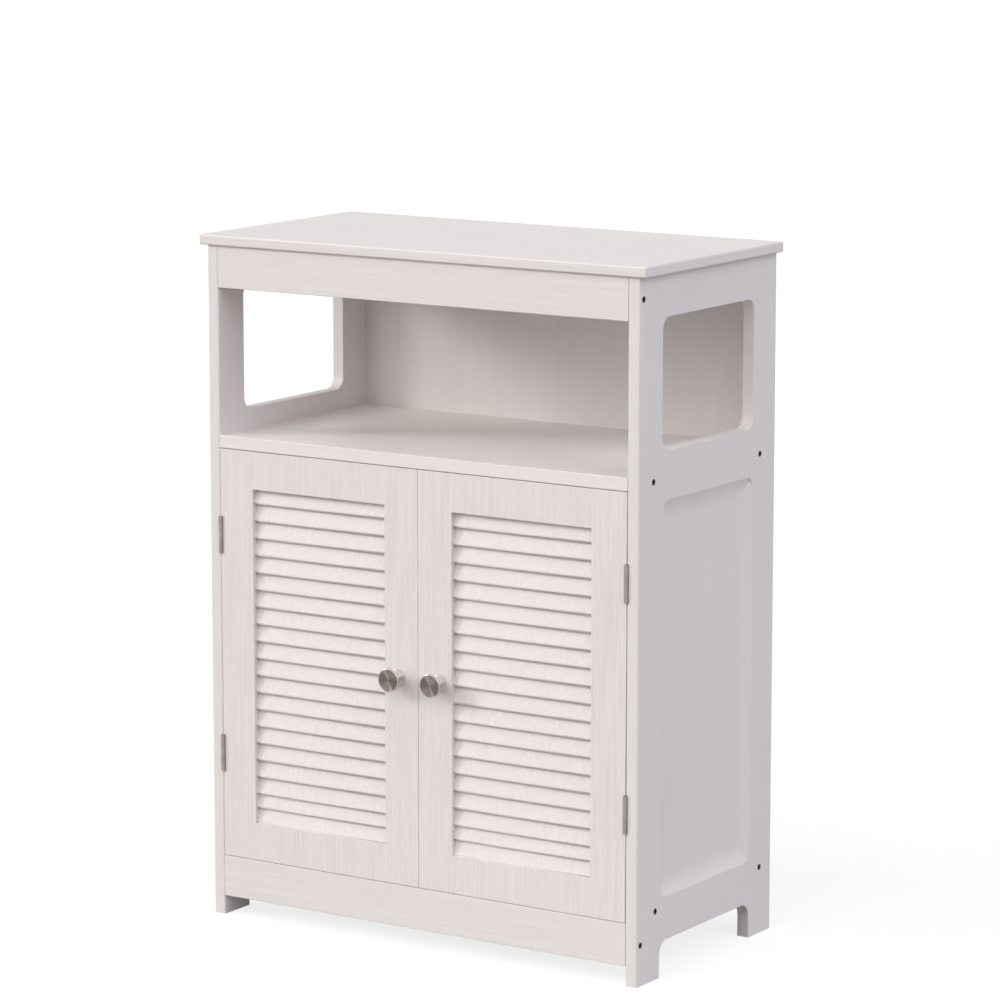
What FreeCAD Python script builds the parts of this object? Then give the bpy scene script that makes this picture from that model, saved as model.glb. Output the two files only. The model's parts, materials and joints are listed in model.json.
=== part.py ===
import FreeCAD, Part
import math
import os
from types import SimpleNamespace
import Sketcher
from FreeCAD import Vector

# Louvred door cabinet: a free-standing floor cabinet with an open bay over a cupboard that two
# louvred doors close.
#
# Frame: X to the right seen from the front, Y to the back, Z up, millimetres. The origin is on the
# floor, under the middle of the whole cabinet's box. Every piece is drawn from the cabinet's own
# planes: X = 0 in the middle, Y = 0 on the front edges of the side panels, Z = 0 on the floor. Its
# Placement then moves it forward by half of what the depth and the knobs leave.
#
# The cabinet is symmetrical about X = 0, so one-sided pieces are drawn on the right and mirrored.

SIZES = {
    # Carcass boards
    "overall_height": 800.0,
    "carcass_width": 580.0,
    "carcass_depth": 295.0,
    "board": 15.0,
    "top_thickness": 12.0,
    "top_side_overhang": 9.0,
    "top_front_overhang": 4.0,
    "top_rear_overhang": 1.0,
    "top_edge_round": 2.0,
    "panel_edge_round": 2.0,
    "cut_edge_round": 1.0,
    "board_edge_round": 0.8,
    "rail_height": 48.5,
    "kick_height": 48.5,
    "kick_gap": 22.5,
    "opening_height": 483.0,
    "bottom_setback": 2.0,
    # Openings and recessed field of a side panel
    "panel_stile": 48.5,
    "window_lift": 24.0,
    "window_round": 14.0,
    "foot_height": 41.0,
    "foot_round": 16.0,
    "field_lift": 4.5,
    "field_drop": 16.2,
    "field_round": 14.0,
    "field_depth": 6.0,
    "field_cove": 22.0,
    # Back panel in its rebate, and its nails
    "back_thickness": 3.0,
    "rebate_width": 7.5,
    "back_play": 0.5,
    "nail_diameter": 1.6,
    "nail_head_diameter": 4.0,
    "nail_head_thickness": 0.6,
    "nail_length": 16.0,
    "nail_end_margin": 36.0,
    "nail_rows": 6,
    "nail_shelf_spacing": 180.0,
    # Adjustable shelf and its pins
    "shelf_end_play": 1.0,
    "shelf_front_setback": 40.0,
    "shelf_back_play": 2.0,
    "pin_diameter": 5.0,
    "pin_depth": 7.5,
    "pin_reach": 8.0,
    "pin_height": 234.0,
    "pin_row_pitch": 32.0,
    "pin_front": 75.0,
    "pin_back": 255.0,
    # Side screws, dowels, cam bolts and cam nuts of the carcass
    "screw_diameter": 5.0,
    "screw_length": 50.0,
    "screw_head_diameter": 7.0,
    "screw_head_length": 3.0,
    "screw_socket": 3.2,
    "screw_socket_depth": 2.0,
    "shelf_screw_inset": 30.0,
    "bottom_screw_inset": 22.0,
    "dowel_diameter": 8.0,
    "dowel_length": 30.0,
    "dowel_panel_depth": 11.0,
    "dowel_top_depth": 9.0,
    "dowel_spread": 15.0,
    "top_dowel_front": 95.0,
    "top_dowel_back": 200.0,
    "cam_front": 50.0,
    "cam_back": 245.0,
    "cam_drop": 34.0,
    "cam_diameter": 15.0,
    "cam_length": 12.0,
    "cam_slot_width": 2.0,
    "cam_slot_depth": 3.0,
    "cam_bolt_diameter": 6.0,
    "cam_bolt_neck": 4.0,
    "cam_bolt_head": 3.0,
    # Doors
    "door_thickness": 15.0,
    "door_side_gap": 0.8,
    "door_middle_gap": 1.0,
    "door_end_gap": 0.8,
    "door_edge_round": 1.0,
    "stile_width": 45.0,
    "door_rail_height": 44.0,
    "door_dowel_spread": 12.0,
    # Louvre slats
    "slat_tilt": 17.0,
    "slat_thickness": 4.5,
    "slat_width": 24.0,
    "slat_setback": 2.5,
    "slat_nose_round": 2.0,
    "slat_pitch": 20.1,
    "top_slat_drop": 17.0,
    "top_slat_width": 16.0,
    "low_slat_pitch": 16.5,
    "low_slat_count": 2,
    "low_slat_lift": 0.2,
    "slat_tenon": 6.0,
    # Hinges and their screws
    "hinge_length": 42.0,
    "hinge_low": 123.5,
    "hinge_high_drop": 101.5,
    "axis_proud": 0.8,
    "knuckle_diameter": 5.0,
    "knuckle_room": 0.25,
    "knuckle_play": 0.2,
    "hinge_pin_diameter": 2.0,
    "hinge_pin_head": 3.4,
    "hinge_pin_head_thickness": 0.6,
    "running_play": 0.05,
    "leaf_thickness": 1.0,
    "leaf_width": 10.0,
    "leaf_gap": 0.2,
    "tab_inset": 1.3,
    "hinge_screw_diameter": 3.0,
    "hinge_screw_length": 12.0,
    "hinge_screw_spread": 13.0,
    # Knobs and their screws
    "knob_reach": 19.0,
    "knob_inset": 27.7,
    "knob_base_diameter": 20.0,
    "knob_base_thickness": 2.0,
    "knob_neck_diameter": 10.0,
    "knob_head_diameter": 27.5,
    "knob_head_thickness": 3.0,
    "knob_flare": 5.0,
    "knob_rim": 1.5,
    "knob_dish": 0.4,
    "knob_edge_round": 1.0,
    "knob_screw_diameter": 4.0,
    "knob_screw_engagement": 8.0,
    "knob_screw_head_diameter": 8.0,
    "knob_screw_head_thickness": 2.6,
    "knob_hole_play": 0.5,
    # Magnetic catches and strike plates
    "catch_inset": 24.0,
    "catch_width": 44.0,
    "catch_depth": 14.0,
    "catch_height": 12.0,
    "catch_gap": 0.3,
    "magnet_width": 18.0,
    "magnet_depth": 6.0,
    "magnet_height": 8.0,
    "magnet_proud": 0.7,
    "catch_screw_diameter": 3.0,
    "catch_screw_head": 5.5,
    "catch_screw_head_length": 2.5,
    "catch_screw_bite": 10.0,
    "catch_screw_spread": 15.5,
    "strike_width": 30.0,
    "strike_height": 10.0,
    "strike_thickness": 1.0,
    "strike_drop": 1.0,
    "strike_screw_length": 11.0,
    # Room round a fastener, dowel or slat in its hole
    "fit_play": 0.1,
}


# ---------------------------------------------------------------- sizes that know their expression

class Size:
    """A length that knows its value and the sheet expression that gives it."""

    def __init__(self, value, text):
        self.value = value
        self.text = text

    def __add__(self, other):
        other = as_size(other)
        return Size(self.value + other.value, f"({self.text} + {other.text})")

    def __sub__(self, other):
        other = as_size(other)
        return Size(self.value - other.value, f"({self.text} - {other.text})")

    def __mul__(self, other):
        other = as_size(other)
        return Size(self.value * other.value, f"({self.text} * {other.text})")

    def __truediv__(self, other):
        other = as_size(other)
        return Size(self.value / other.value, f"({self.text} / {other.text})")

    def __neg__(self):
        return Size(-self.value, f"(-1 * {self.text})")


def as_size(item):
    """The item as a Size; a bare number stands for itself."""
    if isinstance(item, Size):
        return item
    return Size(float(item), str(item))


def sine(angle):
    """Sine of an angle in degrees."""
    return Size(math.sin(math.radians(angle.value)), f"sin({angle.text})")


def cosine(angle):
    """Cosine of an angle in degrees."""
    return Size(math.cos(math.radians(angle.value)), f"cos({angle.text})")


def nearest(number):
    """The whole number nearest to a size."""
    return Size(math.floor(number.value + 0.5), f"floor({number.text} + 0.5)")


doc = FreeCAD.newDocument("louvred_door_cabinet")
sheet = doc.addObject("Spreadsheet::Sheet", "Sizes")
for row, (alias, number) in enumerate(SIZES.items(), start=1):
    sheet.set(f"A{row}", alias)
    sheet.set(f"B{row}", str(number))
    sheet.setAlias(f"B{row}", alias)
doc.recompute()

S = SimpleNamespace(**{alias: Size(number, f"Sizes.{alias}") for alias, number in SIZES.items()})

# Planes and lines that several pieces share
FRONT_SHIFT = (S.knob_reach - S.carcass_depth - S.top_rear_overhang) / 2
OUTER_X = S.carcass_width / 2
INNER_X = OUTER_X - S.board
SIDE_MIDDLE_X = OUTER_X - S.board / 2
PANEL_TOP = S.overall_height - S.top_thickness
RAIL_BOTTOM = PANEL_TOP - S.rail_height
OPENING_BOTTOM = S.kick_gap + S.kick_height
OPENING_TOP = OPENING_BOTTOM + S.opening_height
SHELF_TOP = OPENING_TOP + S.board
BOTTOM_TOP = OPENING_BOTTOM + S.board
REBATE_Y = S.carcass_depth - S.back_thickness
BOTTOM_FRONT = S.door_thickness + S.bottom_setback

DOOR_INNER_X = S.door_middle_gap / 2
DOOR_OUTER_X = INNER_X - S.door_side_gap
DOOR_BOTTOM = OPENING_BOTTOM + S.door_end_gap
DOOR_TOP = OPENING_TOP - S.door_end_gap
LOUVRE_INNER_X = DOOR_INNER_X + S.stile_width
LOUVRE_OUTER_X = DOOR_OUTER_X - S.stile_width
LOUVRE_BOTTOM = DOOR_BOTTOM + S.door_rail_height
LOUVRE_TOP = DOOR_TOP - S.door_rail_height
LOWEST_NOSE = LOUVRE_BOTTOM + S.low_slat_lift + S.slat_thickness * sine(S.slat_tilt)
LOW_RUN = S.low_slat_pitch * S.low_slat_count
SLAT_RUN = LOUVRE_TOP - S.top_slat_drop - LOW_RUN - LOWEST_NOSE
SLAT_COUNT = nearest(SLAT_RUN / S.slat_pitch)
SLAT_PITCH = SLAT_RUN / SLAT_COUNT

AXIS_X = INNER_X - S.door_side_gap / 2
AXIS_Y = -S.axis_proud
KNUCKLE_ROOM_DIAMETER = S.knuckle_diameter + S.knuckle_room * 2
TAB_FRONT = AXIS_Y + S.knuckle_diameter / 2 - S.tab_inset
LEAF_FRONT = AXIS_Y + KNUCKLE_ROOM_DIAMETER / 2
LEAF_BACK = LEAF_FRONT + S.leaf_width
HINGE_LOW_Z = OPENING_BOTTOM + S.hinge_low
HINGE_HIGH_Z = OPENING_TOP - S.hinge_high_drop
HINGE_SPACING = HINGE_HIGH_Z - HINGE_LOW_Z
HINGE_BOTTOM = HINGE_LOW_Z - S.hinge_length / 2

KNOB_X = DOOR_INNER_X + S.knob_inset
KNOB_Z = (DOOR_BOTTOM + DOOR_TOP) / 2
CATCH_X = DOOR_INNER_X + S.catch_inset
CATCH_BOTTOM = OPENING_TOP - S.catch_height
STRIKE_BACK = S.door_thickness + S.strike_thickness
MAGNET_FRONT = STRIKE_BACK + S.catch_gap
CATCH_FRONT = MAGNET_FRONT + S.magnet_proud
CATCH_SCREW_Y = CATCH_FRONT + S.catch_depth / 2
CATCH_SCREWS = [(CATCH_X + S.catch_screw_spread * step, CATCH_SCREW_Y) for step in (-1, 1)]
CATCH_SCREW_HOLE = S.catch_screw_diameter + S.fit_play * 2
STRIKE_TOP = DOOR_TOP - S.strike_drop
STRIKE_SCREW = [(CATCH_X, STRIKE_TOP - S.strike_height / 2)]
PIN_Z = BOTTOM_TOP + S.pin_height - S.board


# ---------------------------------------------------------------- drawing helpers

PLANE_DIRECTION = {"XY_Plane": 1, "YZ_Plane": 1, "XZ_Plane": -1}
SLACK = 1e-4
finished = []


def origin_feature(body, role):
    """One of the body's own origin planes or axes."""
    return [item for item in body.Origin.OriginFeatures if item.Role == role][0]


def bind(item, prop, size):
    """Binds a property to a size's expression."""
    item.setExpression(prop, as_size(size).text)


def new_body(name):
    """An empty body on the cabinet's own planes."""
    body = doc.addObject("PartDesign::Body", name)
    body.Label = name
    bind(body, ".Placement.Base.y", FRONT_SHIFT)
    return body


def new_sketch(body, plane, height):
    """An empty sketch parallel to a plane of the body, at a height along the positive axis."""
    sketch = body.newObject("Sketcher::SketchObject", "Sketch")
    sketch.AttachmentSupport = (origin_feature(body, plane), "")
    sketch.MapMode = "FlatFace"
    bind(sketch, "AttachmentOffset.Base.z", as_size(height) * PLANE_DIRECTION[plane])
    return sketch


def hold(sketch, kind, geometry, point, size):
    """Holds one coordinate of a point at a size from the sketch's origin."""
    size = as_size(size)
    index = sketch.addConstraint(Sketcher.Constraint(kind, -1, 1, geometry, point, size.value))
    sketch.setExpression(f"Constraints[{index}]", size.text)


def hold_point(sketch, geometry, point, place):
    """Holds both coordinates of a point."""
    hold(sketch, "DistanceX", geometry, point, place[0])
    hold(sketch, "DistanceY", geometry, point, place[1])


def flat(place):
    """A sketch point as a vector."""
    return Vector(as_size(place[0]).value, as_size(place[1]).value, 0)


def draw_polygon(sketch, corners):
    """A closed outline of straight lines through the corners."""
    first = sketch.GeometryCount
    count = len(corners)
    for step, corner in enumerate(corners):
        after = corners[(step + 1) % count]
        sketch.addGeometry(Part.LineSegment(flat(corner), flat(after)))
    for step, corner in enumerate(corners):
        before = first + (step - 1) % count
        sketch.addConstraint(Sketcher.Constraint("Coincident", first + step, 1, before, 2))
        hold_point(sketch, first + step, 1, corner)


def draw_rectangle(sketch, low, high):
    """A rectangle between its lowest and highest corners."""
    draw_polygon(sketch, [low, (high[0], low[1]), high, (low[0], high[1])])


def draw_circles(sketch, centres, diameter):
    """Circles of one diameter about the centres."""
    diameter = as_size(diameter)
    for centre in centres:
        circle = sketch.addGeometry(Part.Circle(flat(centre), Vector(0, 0, 1), diameter.value / 2))
        hold_point(sketch, circle, 3, centre)
        index = sketch.addConstraint(Sketcher.Constraint("Diameter", circle, diameter.value))
        sketch.setExpression(f"Constraints[{index}]", diameter.text)


def draw_hexagon(sketch, centre, across):
    """A regular hexagon by its width across the flats."""
    radius = across / 2 / math.cos(math.pi / 6)
    corners = []
    for step in range(6):
        turn = math.radians(60 * step)
        corners.append((centre[0] + radius * math.cos(turn), centre[1] + radius * math.sin(turn)))
    draw_polygon(sketch, corners)


def grow(body, sketch, plane, length, taper=0.0):
    """Pads a sketch towards the positive axis."""
    pad = body.newObject("PartDesign::Pad", "Pad")
    pad.Profile = sketch
    bind(pad, "Length", length)
    pad.Reversed = PLANE_DIRECTION[plane] < 0
    pad.TaperAngle = taper
    return pad


def cut(body, sketch, plane, length, taper=0.0):
    """Pockets a sketch towards the positive axis, and checks that it takes material away."""
    doc.recompute()
    before = body.Shape.Volume
    pocket = body.newObject("PartDesign::Pocket", "Pocket")
    pocket.Profile = sketch
    bind(pocket, "Length", length)
    pocket.Reversed = PLANE_DIRECTION[plane] > 0
    pocket.TaperAngle = taper
    doc.recompute()
    if not body.Shape.Volume < before:
        raise RuntimeError(f"a pocket of {body.Label} cuts nothing")
    return pocket


def add_block(body, low, high):
    """Pads a box between its lowest and highest corners."""
    sketch = new_sketch(body, "XY_Plane", low[2])
    draw_rectangle(sketch, low[:2], high[:2])
    return grow(body, sketch, "XY_Plane", as_size(high[2]) - low[2])


def cut_block(body, low, high):
    """Pockets a box between its lowest and highest corners."""
    sketch = new_sketch(body, "XY_Plane", low[2])
    draw_rectangle(sketch, low[:2], high[:2])
    return cut(body, sketch, "XY_Plane", as_size(high[2]) - low[2])


def add_rods(body, plane, start, end, centres, diameter, taper=0.0):
    """Pads round rods along a plane's normal, from start to end."""
    sketch = new_sketch(body, plane, start)
    draw_circles(sketch, centres, diameter)
    return grow(body, sketch, plane, as_size(end) - start, taper)


def cut_holes(body, plane, start, end, centres, diameter, taper=0.0):
    """Drills round holes along a plane's normal, from start to end."""
    sketch = new_sketch(body, plane, start)
    draw_circles(sketch, centres, diameter)
    return cut(body, sketch, plane, as_size(end) - start, taper)


def repeat(body, originals, spacing, count, axis="Z_Axis"):
    """Repeats features along an axis and makes the pattern the body's tip."""
    pattern = body.newObject("PartDesign::LinearPattern", "LinearPattern")
    pattern.Originals = originals
    pattern.Direction = (origin_feature(body, axis), [""])
    bind(pattern, "Length", as_size(spacing) * (as_size(count) - 1))
    bind(pattern, "Occurrences", count)
    body.Tip = pattern
    return pattern


def soften(body, radius, wanted):
    """Fillets the edges of the body's tip for which wanted(start, end) is true."""
    doc.recompute()
    tip = body.Tip
    names = []
    for number, edge in enumerate(tip.Shape.Edges, start=1):
        if len(edge.Vertexes) == 2 and wanted(edge.Vertexes[0].Point, edge.Vertexes[1].Point):
            names.append(f"Edge{number}")
    fillet = body.newObject("PartDesign::Fillet", "Fillet")
    fillet.Base = (tip, names)
    bind(fillet, "Radius", radius)
    return fillet


def same(first, second):
    """Whether two lengths agree."""
    return abs(first - as_size(second).value) < SLACK


def at_both(start, end, **planes):
    """Whether an edge's two ends both lie on the named planes."""
    ends = (start, end)
    return all(same(getattr(point, axis), place) for axis, place in planes.items() for point in ends)


def finish(item):
    """Lists a piece for checking and writing."""
    finished.append(item)
    return item


def mirrored(source, name):
    """The left-hand copy of a right-hand piece."""
    mirror = doc.addObject("Part::Mirroring", name)
    mirror.Label = name
    mirror.Source = source
    mirror.Normal = Vector(1, 0, 0)
    mirror.Base = Vector(0, 0, 0)
    return finish(mirror)


def both_sides(source, name):
    """One node that holds a right-hand group of fasteners and its mirror image."""
    mirror = doc.addObject("Part::Mirroring", f"{name}_mirror")
    mirror.Source = source
    mirror.Normal = Vector(1, 0, 0)
    mirror.Base = Vector(0, 0, 0)
    group = doc.addObject("Part::Compound", name)
    group.Label = name
    group.Links = [source, mirror]
    return finish(group)


# ---------------------------------------------------------------- places that pieces share

BOARD_MIDDLE = S.board / 2
RAIL_MIDDLE_Z = RAIL_BOTTOM + S.rail_height / 2
KICK_MIDDLE_Z = S.kick_gap + S.kick_height / 2
SHELF_MIDDLE_Z = OPENING_TOP + S.board / 2
BOTTOM_MIDDLE_Z = OPENING_BOTTOM + S.board / 2

# (Y, Z) of the side screws and dowels, by the board that they hold
RAIL_SCREWS = [(BOARD_MIDDLE, RAIL_MIDDLE_Z)]
RAIL_DOWELS = [(BOARD_MIDDLE, RAIL_MIDDLE_Z + S.dowel_spread * step) for step in (-1, 1)]
KICK_SCREWS = [(BOARD_MIDDLE, KICK_MIDDLE_Z)]
KICK_DOWELS = [(BOARD_MIDDLE, KICK_MIDDLE_Z + S.dowel_spread * step) for step in (-1, 1)]
SHELF_SCREWS = [(S.shelf_screw_inset, SHELF_MIDDLE_Z), (REBATE_Y - S.shelf_screw_inset, SHELF_MIDDLE_Z)]
SHELF_DOWELS = [(REBATE_Y / 2, SHELF_MIDDLE_Z)]
BOTTOM_SCREWS = [
    (BOTTOM_FRONT + S.bottom_screw_inset, BOTTOM_MIDDLE_Z),
    (REBATE_Y - S.bottom_screw_inset, BOTTOM_MIDDLE_Z),
]
BOTTOM_DOWELS = [((BOTTOM_FRONT + REBATE_Y) / 2, BOTTOM_MIDDLE_Z)]
SIDE_SCREWS = RAIL_SCREWS + KICK_SCREWS + SHELF_SCREWS + BOTTOM_SCREWS
SIDE_DOWELS = RAIL_DOWELS + KICK_DOWELS + SHELF_DOWELS + BOTTOM_DOWELS

# (X, Y) of the dowels and cam bolts between a side panel and the top board
TOP_DOWELS = [(SIDE_MIDDLE_X, S.top_dowel_front), (SIDE_MIDDLE_X, S.top_dowel_back)]
CAM_BOLTS = [(SIDE_MIDDLE_X, S.cam_front), (SIDE_MIDDLE_X, S.cam_back)]
CAM_Z = PANEL_TOP - S.cam_drop
CAMS = [(S.cam_front, CAM_Z), (S.cam_back, CAM_Z)]

# (X, Z) of the back panel's nails
NAIL_STEP = (PANEL_TOP - OPENING_BOTTOM - S.nail_end_margin * 2) / (S.nail_rows - 1)
NAIL_X = INNER_X + S.rebate_width / 2
NAIL_LOW_Z = OPENING_BOTTOM + S.nail_end_margin
SIDE_NAILS = [(NAIL_X, NAIL_LOW_Z + NAIL_STEP * step) for step in range(SIZES["nail_rows"])]
SHELF_NAILS = [(S.nail_shelf_spacing / 2, SHELF_MIDDLE_Z)]
BOTTOM_NAILS = [(S.nail_shelf_spacing / 2, BOTTOM_MIDDLE_Z)]
NAIL_TIP_Y = S.carcass_depth - S.nail_length

# (Y, Z) of the shelf pins and their rows of holes
PINS = [(S.pin_front, PIN_Z), (S.pin_back, PIN_Z)]
PIN_HOLES = [(y, PIN_Z + S.pin_row_pitch * step) for y in (S.pin_front, S.pin_back) for step in (-1, 0, 1)]

# (Y, Z) of the lower hinge's leaf screws
HINGE_SCREW_Y = (LEAF_FRONT + LEAF_BACK) / 2
HINGE_SCREWS = [
    (HINGE_SCREW_Y, HINGE_LOW_Z - S.hinge_screw_spread),
    (HINGE_SCREW_Y, HINGE_LOW_Z + S.hinge_screw_spread),
]

SCREW_HOLE = S.screw_diameter + S.fit_play * 2
DOWEL_HOLE = S.dowel_diameter + S.fit_play * 2
NAIL_HOLE = S.nail_diameter + S.fit_play * 2
HINGE_SCREW_HOLE = S.hinge_screw_diameter + S.fit_play * 2
SCREW_TIP_X = OUTER_X - S.screw_length
DOWEL_TIP_X = INNER_X + S.dowel_panel_depth
DOWEL_BUTT_X = DOWEL_TIP_X - S.dowel_length


def cut_end_holes(body, screws, dowels):
    """Drills a cross board's ends for the side screws and dowels."""
    for side in (1, -1):
        for centres, tip, hole in ((screws, SCREW_TIP_X, SCREW_HOLE), (dowels, DOWEL_BUTT_X, DOWEL_HOLE)):
            inner, outer = (tip - S.fit_play, INNER_X) if side > 0 else (-INNER_X, -tip + S.fit_play)
            cut_holes(body, "YZ_Plane", inner, outer, centres, hole)


def ease_front(body, front):
    """Eases the two long edges of a board's front face."""
    along_front = lambda start, end: at_both(start, end, y=front) and same(start.z, end.z)
    soften(body, S.board_edge_round, along_front)


def cross_board(name, low, high, screws, dowels):
    """A board between the side panels, with its two long front edges eased."""
    body = new_body(name)
    add_block(body, (-INNER_X, low[0], low[1]), (INNER_X, high[0], high[1]))
    ease_front(body, low[0])
    cut_end_holes(body, screws, dowels)
    return body


# ---------------------------------------------------------------- carcass boards

def make_top_board():
    body = new_body("top_board")
    half = OUTER_X + S.top_side_overhang
    front = -S.top_front_overhang
    back = S.carcass_depth + S.top_rear_overhang
    add_block(body, (-half, front, PANEL_TOP), (half, back, S.overall_height))
    soften(body, S.top_edge_round, lambda start, end: True)
    for side in (1, -1):
        dowels = [(x * side, y) for x, y in TOP_DOWELS]
        bolts = [(x * side, y) for x, y in CAM_BOLTS]
        hole_top = PANEL_TOP + S.dowel_top_depth + S.fit_play
        cut_holes(body, "XY_Plane", PANEL_TOP, hole_top, dowels, DOWEL_HOLE)
        cut_holes(body, "XY_Plane", PANEL_TOP, hole_top, bolts, S.cam_bolt_diameter + S.fit_play * 2)
    return finish(body)


def cut_side_hinge_seats(body):
    """Sinks both frame leaves into the panel's inner face and clears their knuckles."""
    play = S.fit_play
    bottom = HINGE_BOTTOM - play
    height = S.hinge_length + play * 2
    depth = AXIS_X + S.leaf_gap / 2 + S.leaf_thickness - INNER_X
    seat = new_sketch(body, "YZ_Plane", INNER_X)
    draw_rectangle(seat, (TAB_FRONT, bottom), (LEAF_BACK + play, bottom + height))
    seat_cut = cut(body, seat, "YZ_Plane", depth)
    pin_room = S.hinge_pin_head_thickness + S.fit_play
    round_cut = cut_holes(
        body, "XY_Plane", HINGE_BOTTOM - pin_room, HINGE_BOTTOM + S.hinge_length + pin_room,
        [(AXIS_X, AXIS_Y)], KNUCKLE_ROOM_DIAMETER)
    tip = INNER_X + S.hinge_screw_length
    screw_cut = cut_holes(body, "YZ_Plane", INNER_X, tip, HINGE_SCREWS, HINGE_SCREW_HOLE)
    repeat(body, [seat_cut, round_cut, screw_cut], HINGE_SPACING, 2)


def make_panel_blank():
    """The right-hand side panel without its recessed field."""
    body = new_body("side_panel_right_blank")
    add_block(body, (INNER_X, 0, 0), (OUTER_X, S.carcass_depth, PANEL_TOP))
    soften(body, S.panel_edge_round, lambda start, end: at_both(start, end, y=0) and same(start.x, end.x))

    back_stile = S.carcass_depth - S.panel_stile
    window_bottom = SHELF_TOP + S.window_lift
    openings = new_sketch(body, "YZ_Plane", INNER_X)
    draw_rectangle(openings, (S.panel_stile, window_bottom), (back_stile, RAIL_BOTTOM))
    draw_rectangle(openings, (S.panel_stile, 0), (back_stile, S.foot_height))
    cut(body, openings, "YZ_Plane", S.board)
    for y in (S.panel_stile, back_stile):
        soften(body, S.foot_round, lambda start, end: at_both(start, end, y=y, z=S.foot_height))
        for z in (window_bottom, RAIL_BOTTOM):
            soften(body, S.window_round, lambda start, end: at_both(start, end, y=y, z=z))

    def round_an_opening(start, end):
        on_a_face = at_both(start, end, x=INNER_X) or at_both(start, end, x=OUTER_X)
        front_most = S.panel_stile.value - SLACK < min(start.y, end.y)
        rear_most = max(start.y, end.y) < back_stile.value + SLACK
        return on_a_face and front_most and rear_most

    soften(body, S.cut_edge_round, round_an_opening)

    rebate_x = INNER_X + S.rebate_width
    cut_block(body, (INNER_X, REBATE_Y, OPENING_BOTTOM), (rebate_x, S.carcass_depth, PANEL_TOP))
    cut_holes(body, "XZ_Plane", NAIL_TIP_Y, REBATE_Y, SIDE_NAILS, NAIL_HOLE)
    cut_holes(body, "YZ_Plane", INNER_X, OUTER_X, SIDE_SCREWS, SCREW_HOLE)
    head_hole = S.screw_head_diameter + S.fit_play * 2
    cut_holes(body, "YZ_Plane", OUTER_X - S.screw_head_length, OUTER_X, SIDE_SCREWS, head_hole)
    cut_holes(body, "YZ_Plane", INNER_X, DOWEL_TIP_X + S.fit_play, SIDE_DOWELS, DOWEL_HOLE)
    blind_holes = ((S.pin_depth, PIN_HOLES, S.pin_diameter), (S.cam_length, CAMS, S.cam_diameter))
    for depth, centres, diameter in blind_holes:
        end = INNER_X + depth + S.fit_play
        cut_holes(body, "YZ_Plane", INNER_X, end, centres, diameter + S.fit_play * 2)
    dowel_foot = PANEL_TOP + S.dowel_top_depth - S.dowel_length - S.fit_play
    cut_holes(body, "XY_Plane", dowel_foot, PANEL_TOP, TOP_DOWELS, DOWEL_HOLE)
    cut_holes(body, "XY_Plane", CAM_Z, PANEL_TOP, CAM_BOLTS, S.cam_bolt_diameter + S.fit_play * 2)
    cut_side_hinge_seats(body)
    return body


def cove_profile(sketch, low, high, outside):
    """Profile of the recessed field: a flat floor that curves up to the outer face at both ends.

    low and high are where the field starts and ends along the face, outside is a depth clear of it.
    Depth runs along the sketch's first axis, the face along its second.
    """
    floor = OUTER_X - S.field_depth
    corners = [
        (outside, low), (outside, high), (OUTER_X, high), (floor, high - S.field_cove),
        (floor, low + S.field_cove), (OUTER_X, low),
    ]
    cove = S.field_cove.value
    depth = S.field_depth.value
    radius = (cove ** 2 + depth ** 2) / (2 * depth)
    half_turn = math.asin(cove / radius) / 2
    along = radius * math.sin(half_turn)
    sink = radius * (1 - math.cos(half_turn))
    middles = {
        2: Vector(floor.value + sink, high.value - cove + along, 0),
        4: Vector(floor.value + sink, low.value + cove - along, 0),
    }
    for step, corner in enumerate(corners):
        after = corners[(step + 1) % len(corners)]
        if step in middles:
            sketch.addGeometry(Part.Arc(flat(corner), middles[step], flat(after)))
        else:
            sketch.addGeometry(Part.LineSegment(flat(corner), flat(after)))
    ends = []
    for step, corner in enumerate(corners):
        forward = sketch.Geometry[step].StartPoint.distanceToPoint(flat(corner)) < 1e-6
        ends.append((1, 2) if forward else (2, 1))
    for step, corner in enumerate(corners):
        before = (step - 1) % len(corners)
        meeting = "Tangent" if step in (3, 4) else "Coincident"
        sketch.addConstraint(Sketcher.Constraint(meeting, step, ends[step][0], before, ends[before][1]))
        hold_point(sketch, step, ends[step][0], corner)


def make_side_panel():
    """The right-hand side panel: the blank less a field recessed in its outer face.

    The field is what two coved profiles and a prism with round corners have in common.
    """
    blank = make_panel_blank()
    back_stile = S.carcass_depth - S.panel_stile
    field_bottom = BOTTOM_TOP + S.field_lift
    field_top = OPENING_TOP - S.field_drop
    outside = OUTER_X + S.board

    across = new_body("field_across")
    sketch = new_sketch(across, "XY_Plane", field_bottom)
    cove_profile(sketch, S.panel_stile, back_stile, outside)
    grow(across, sketch, "XY_Plane", field_top - field_bottom)

    upright = new_body("field_upright")
    sketch = new_sketch(upright, "XZ_Plane", S.panel_stile)
    cove_profile(sketch, field_bottom, field_top, outside)
    grow(upright, sketch, "XZ_Plane", back_stile - S.panel_stile)

    prism = new_body("field_prism")
    add_block(
        prism, (INNER_X, S.panel_stile, field_bottom), (outside, back_stile, field_top))
    soften(prism, S.field_round, lambda start, end: same(start.y, end.y) and same(start.z, end.z))

    field = doc.addObject("Part::MultiCommon", "field_cutter")
    field.Shapes = [across, upright, prism]
    panel = doc.addObject("Part::Cut", "side_panel_right")
    panel.Label = "side_panel_right"
    panel.Base = blank
    panel.Tool = field
    finish(panel)
    mirrored(panel, "side_panel_left")


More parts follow.
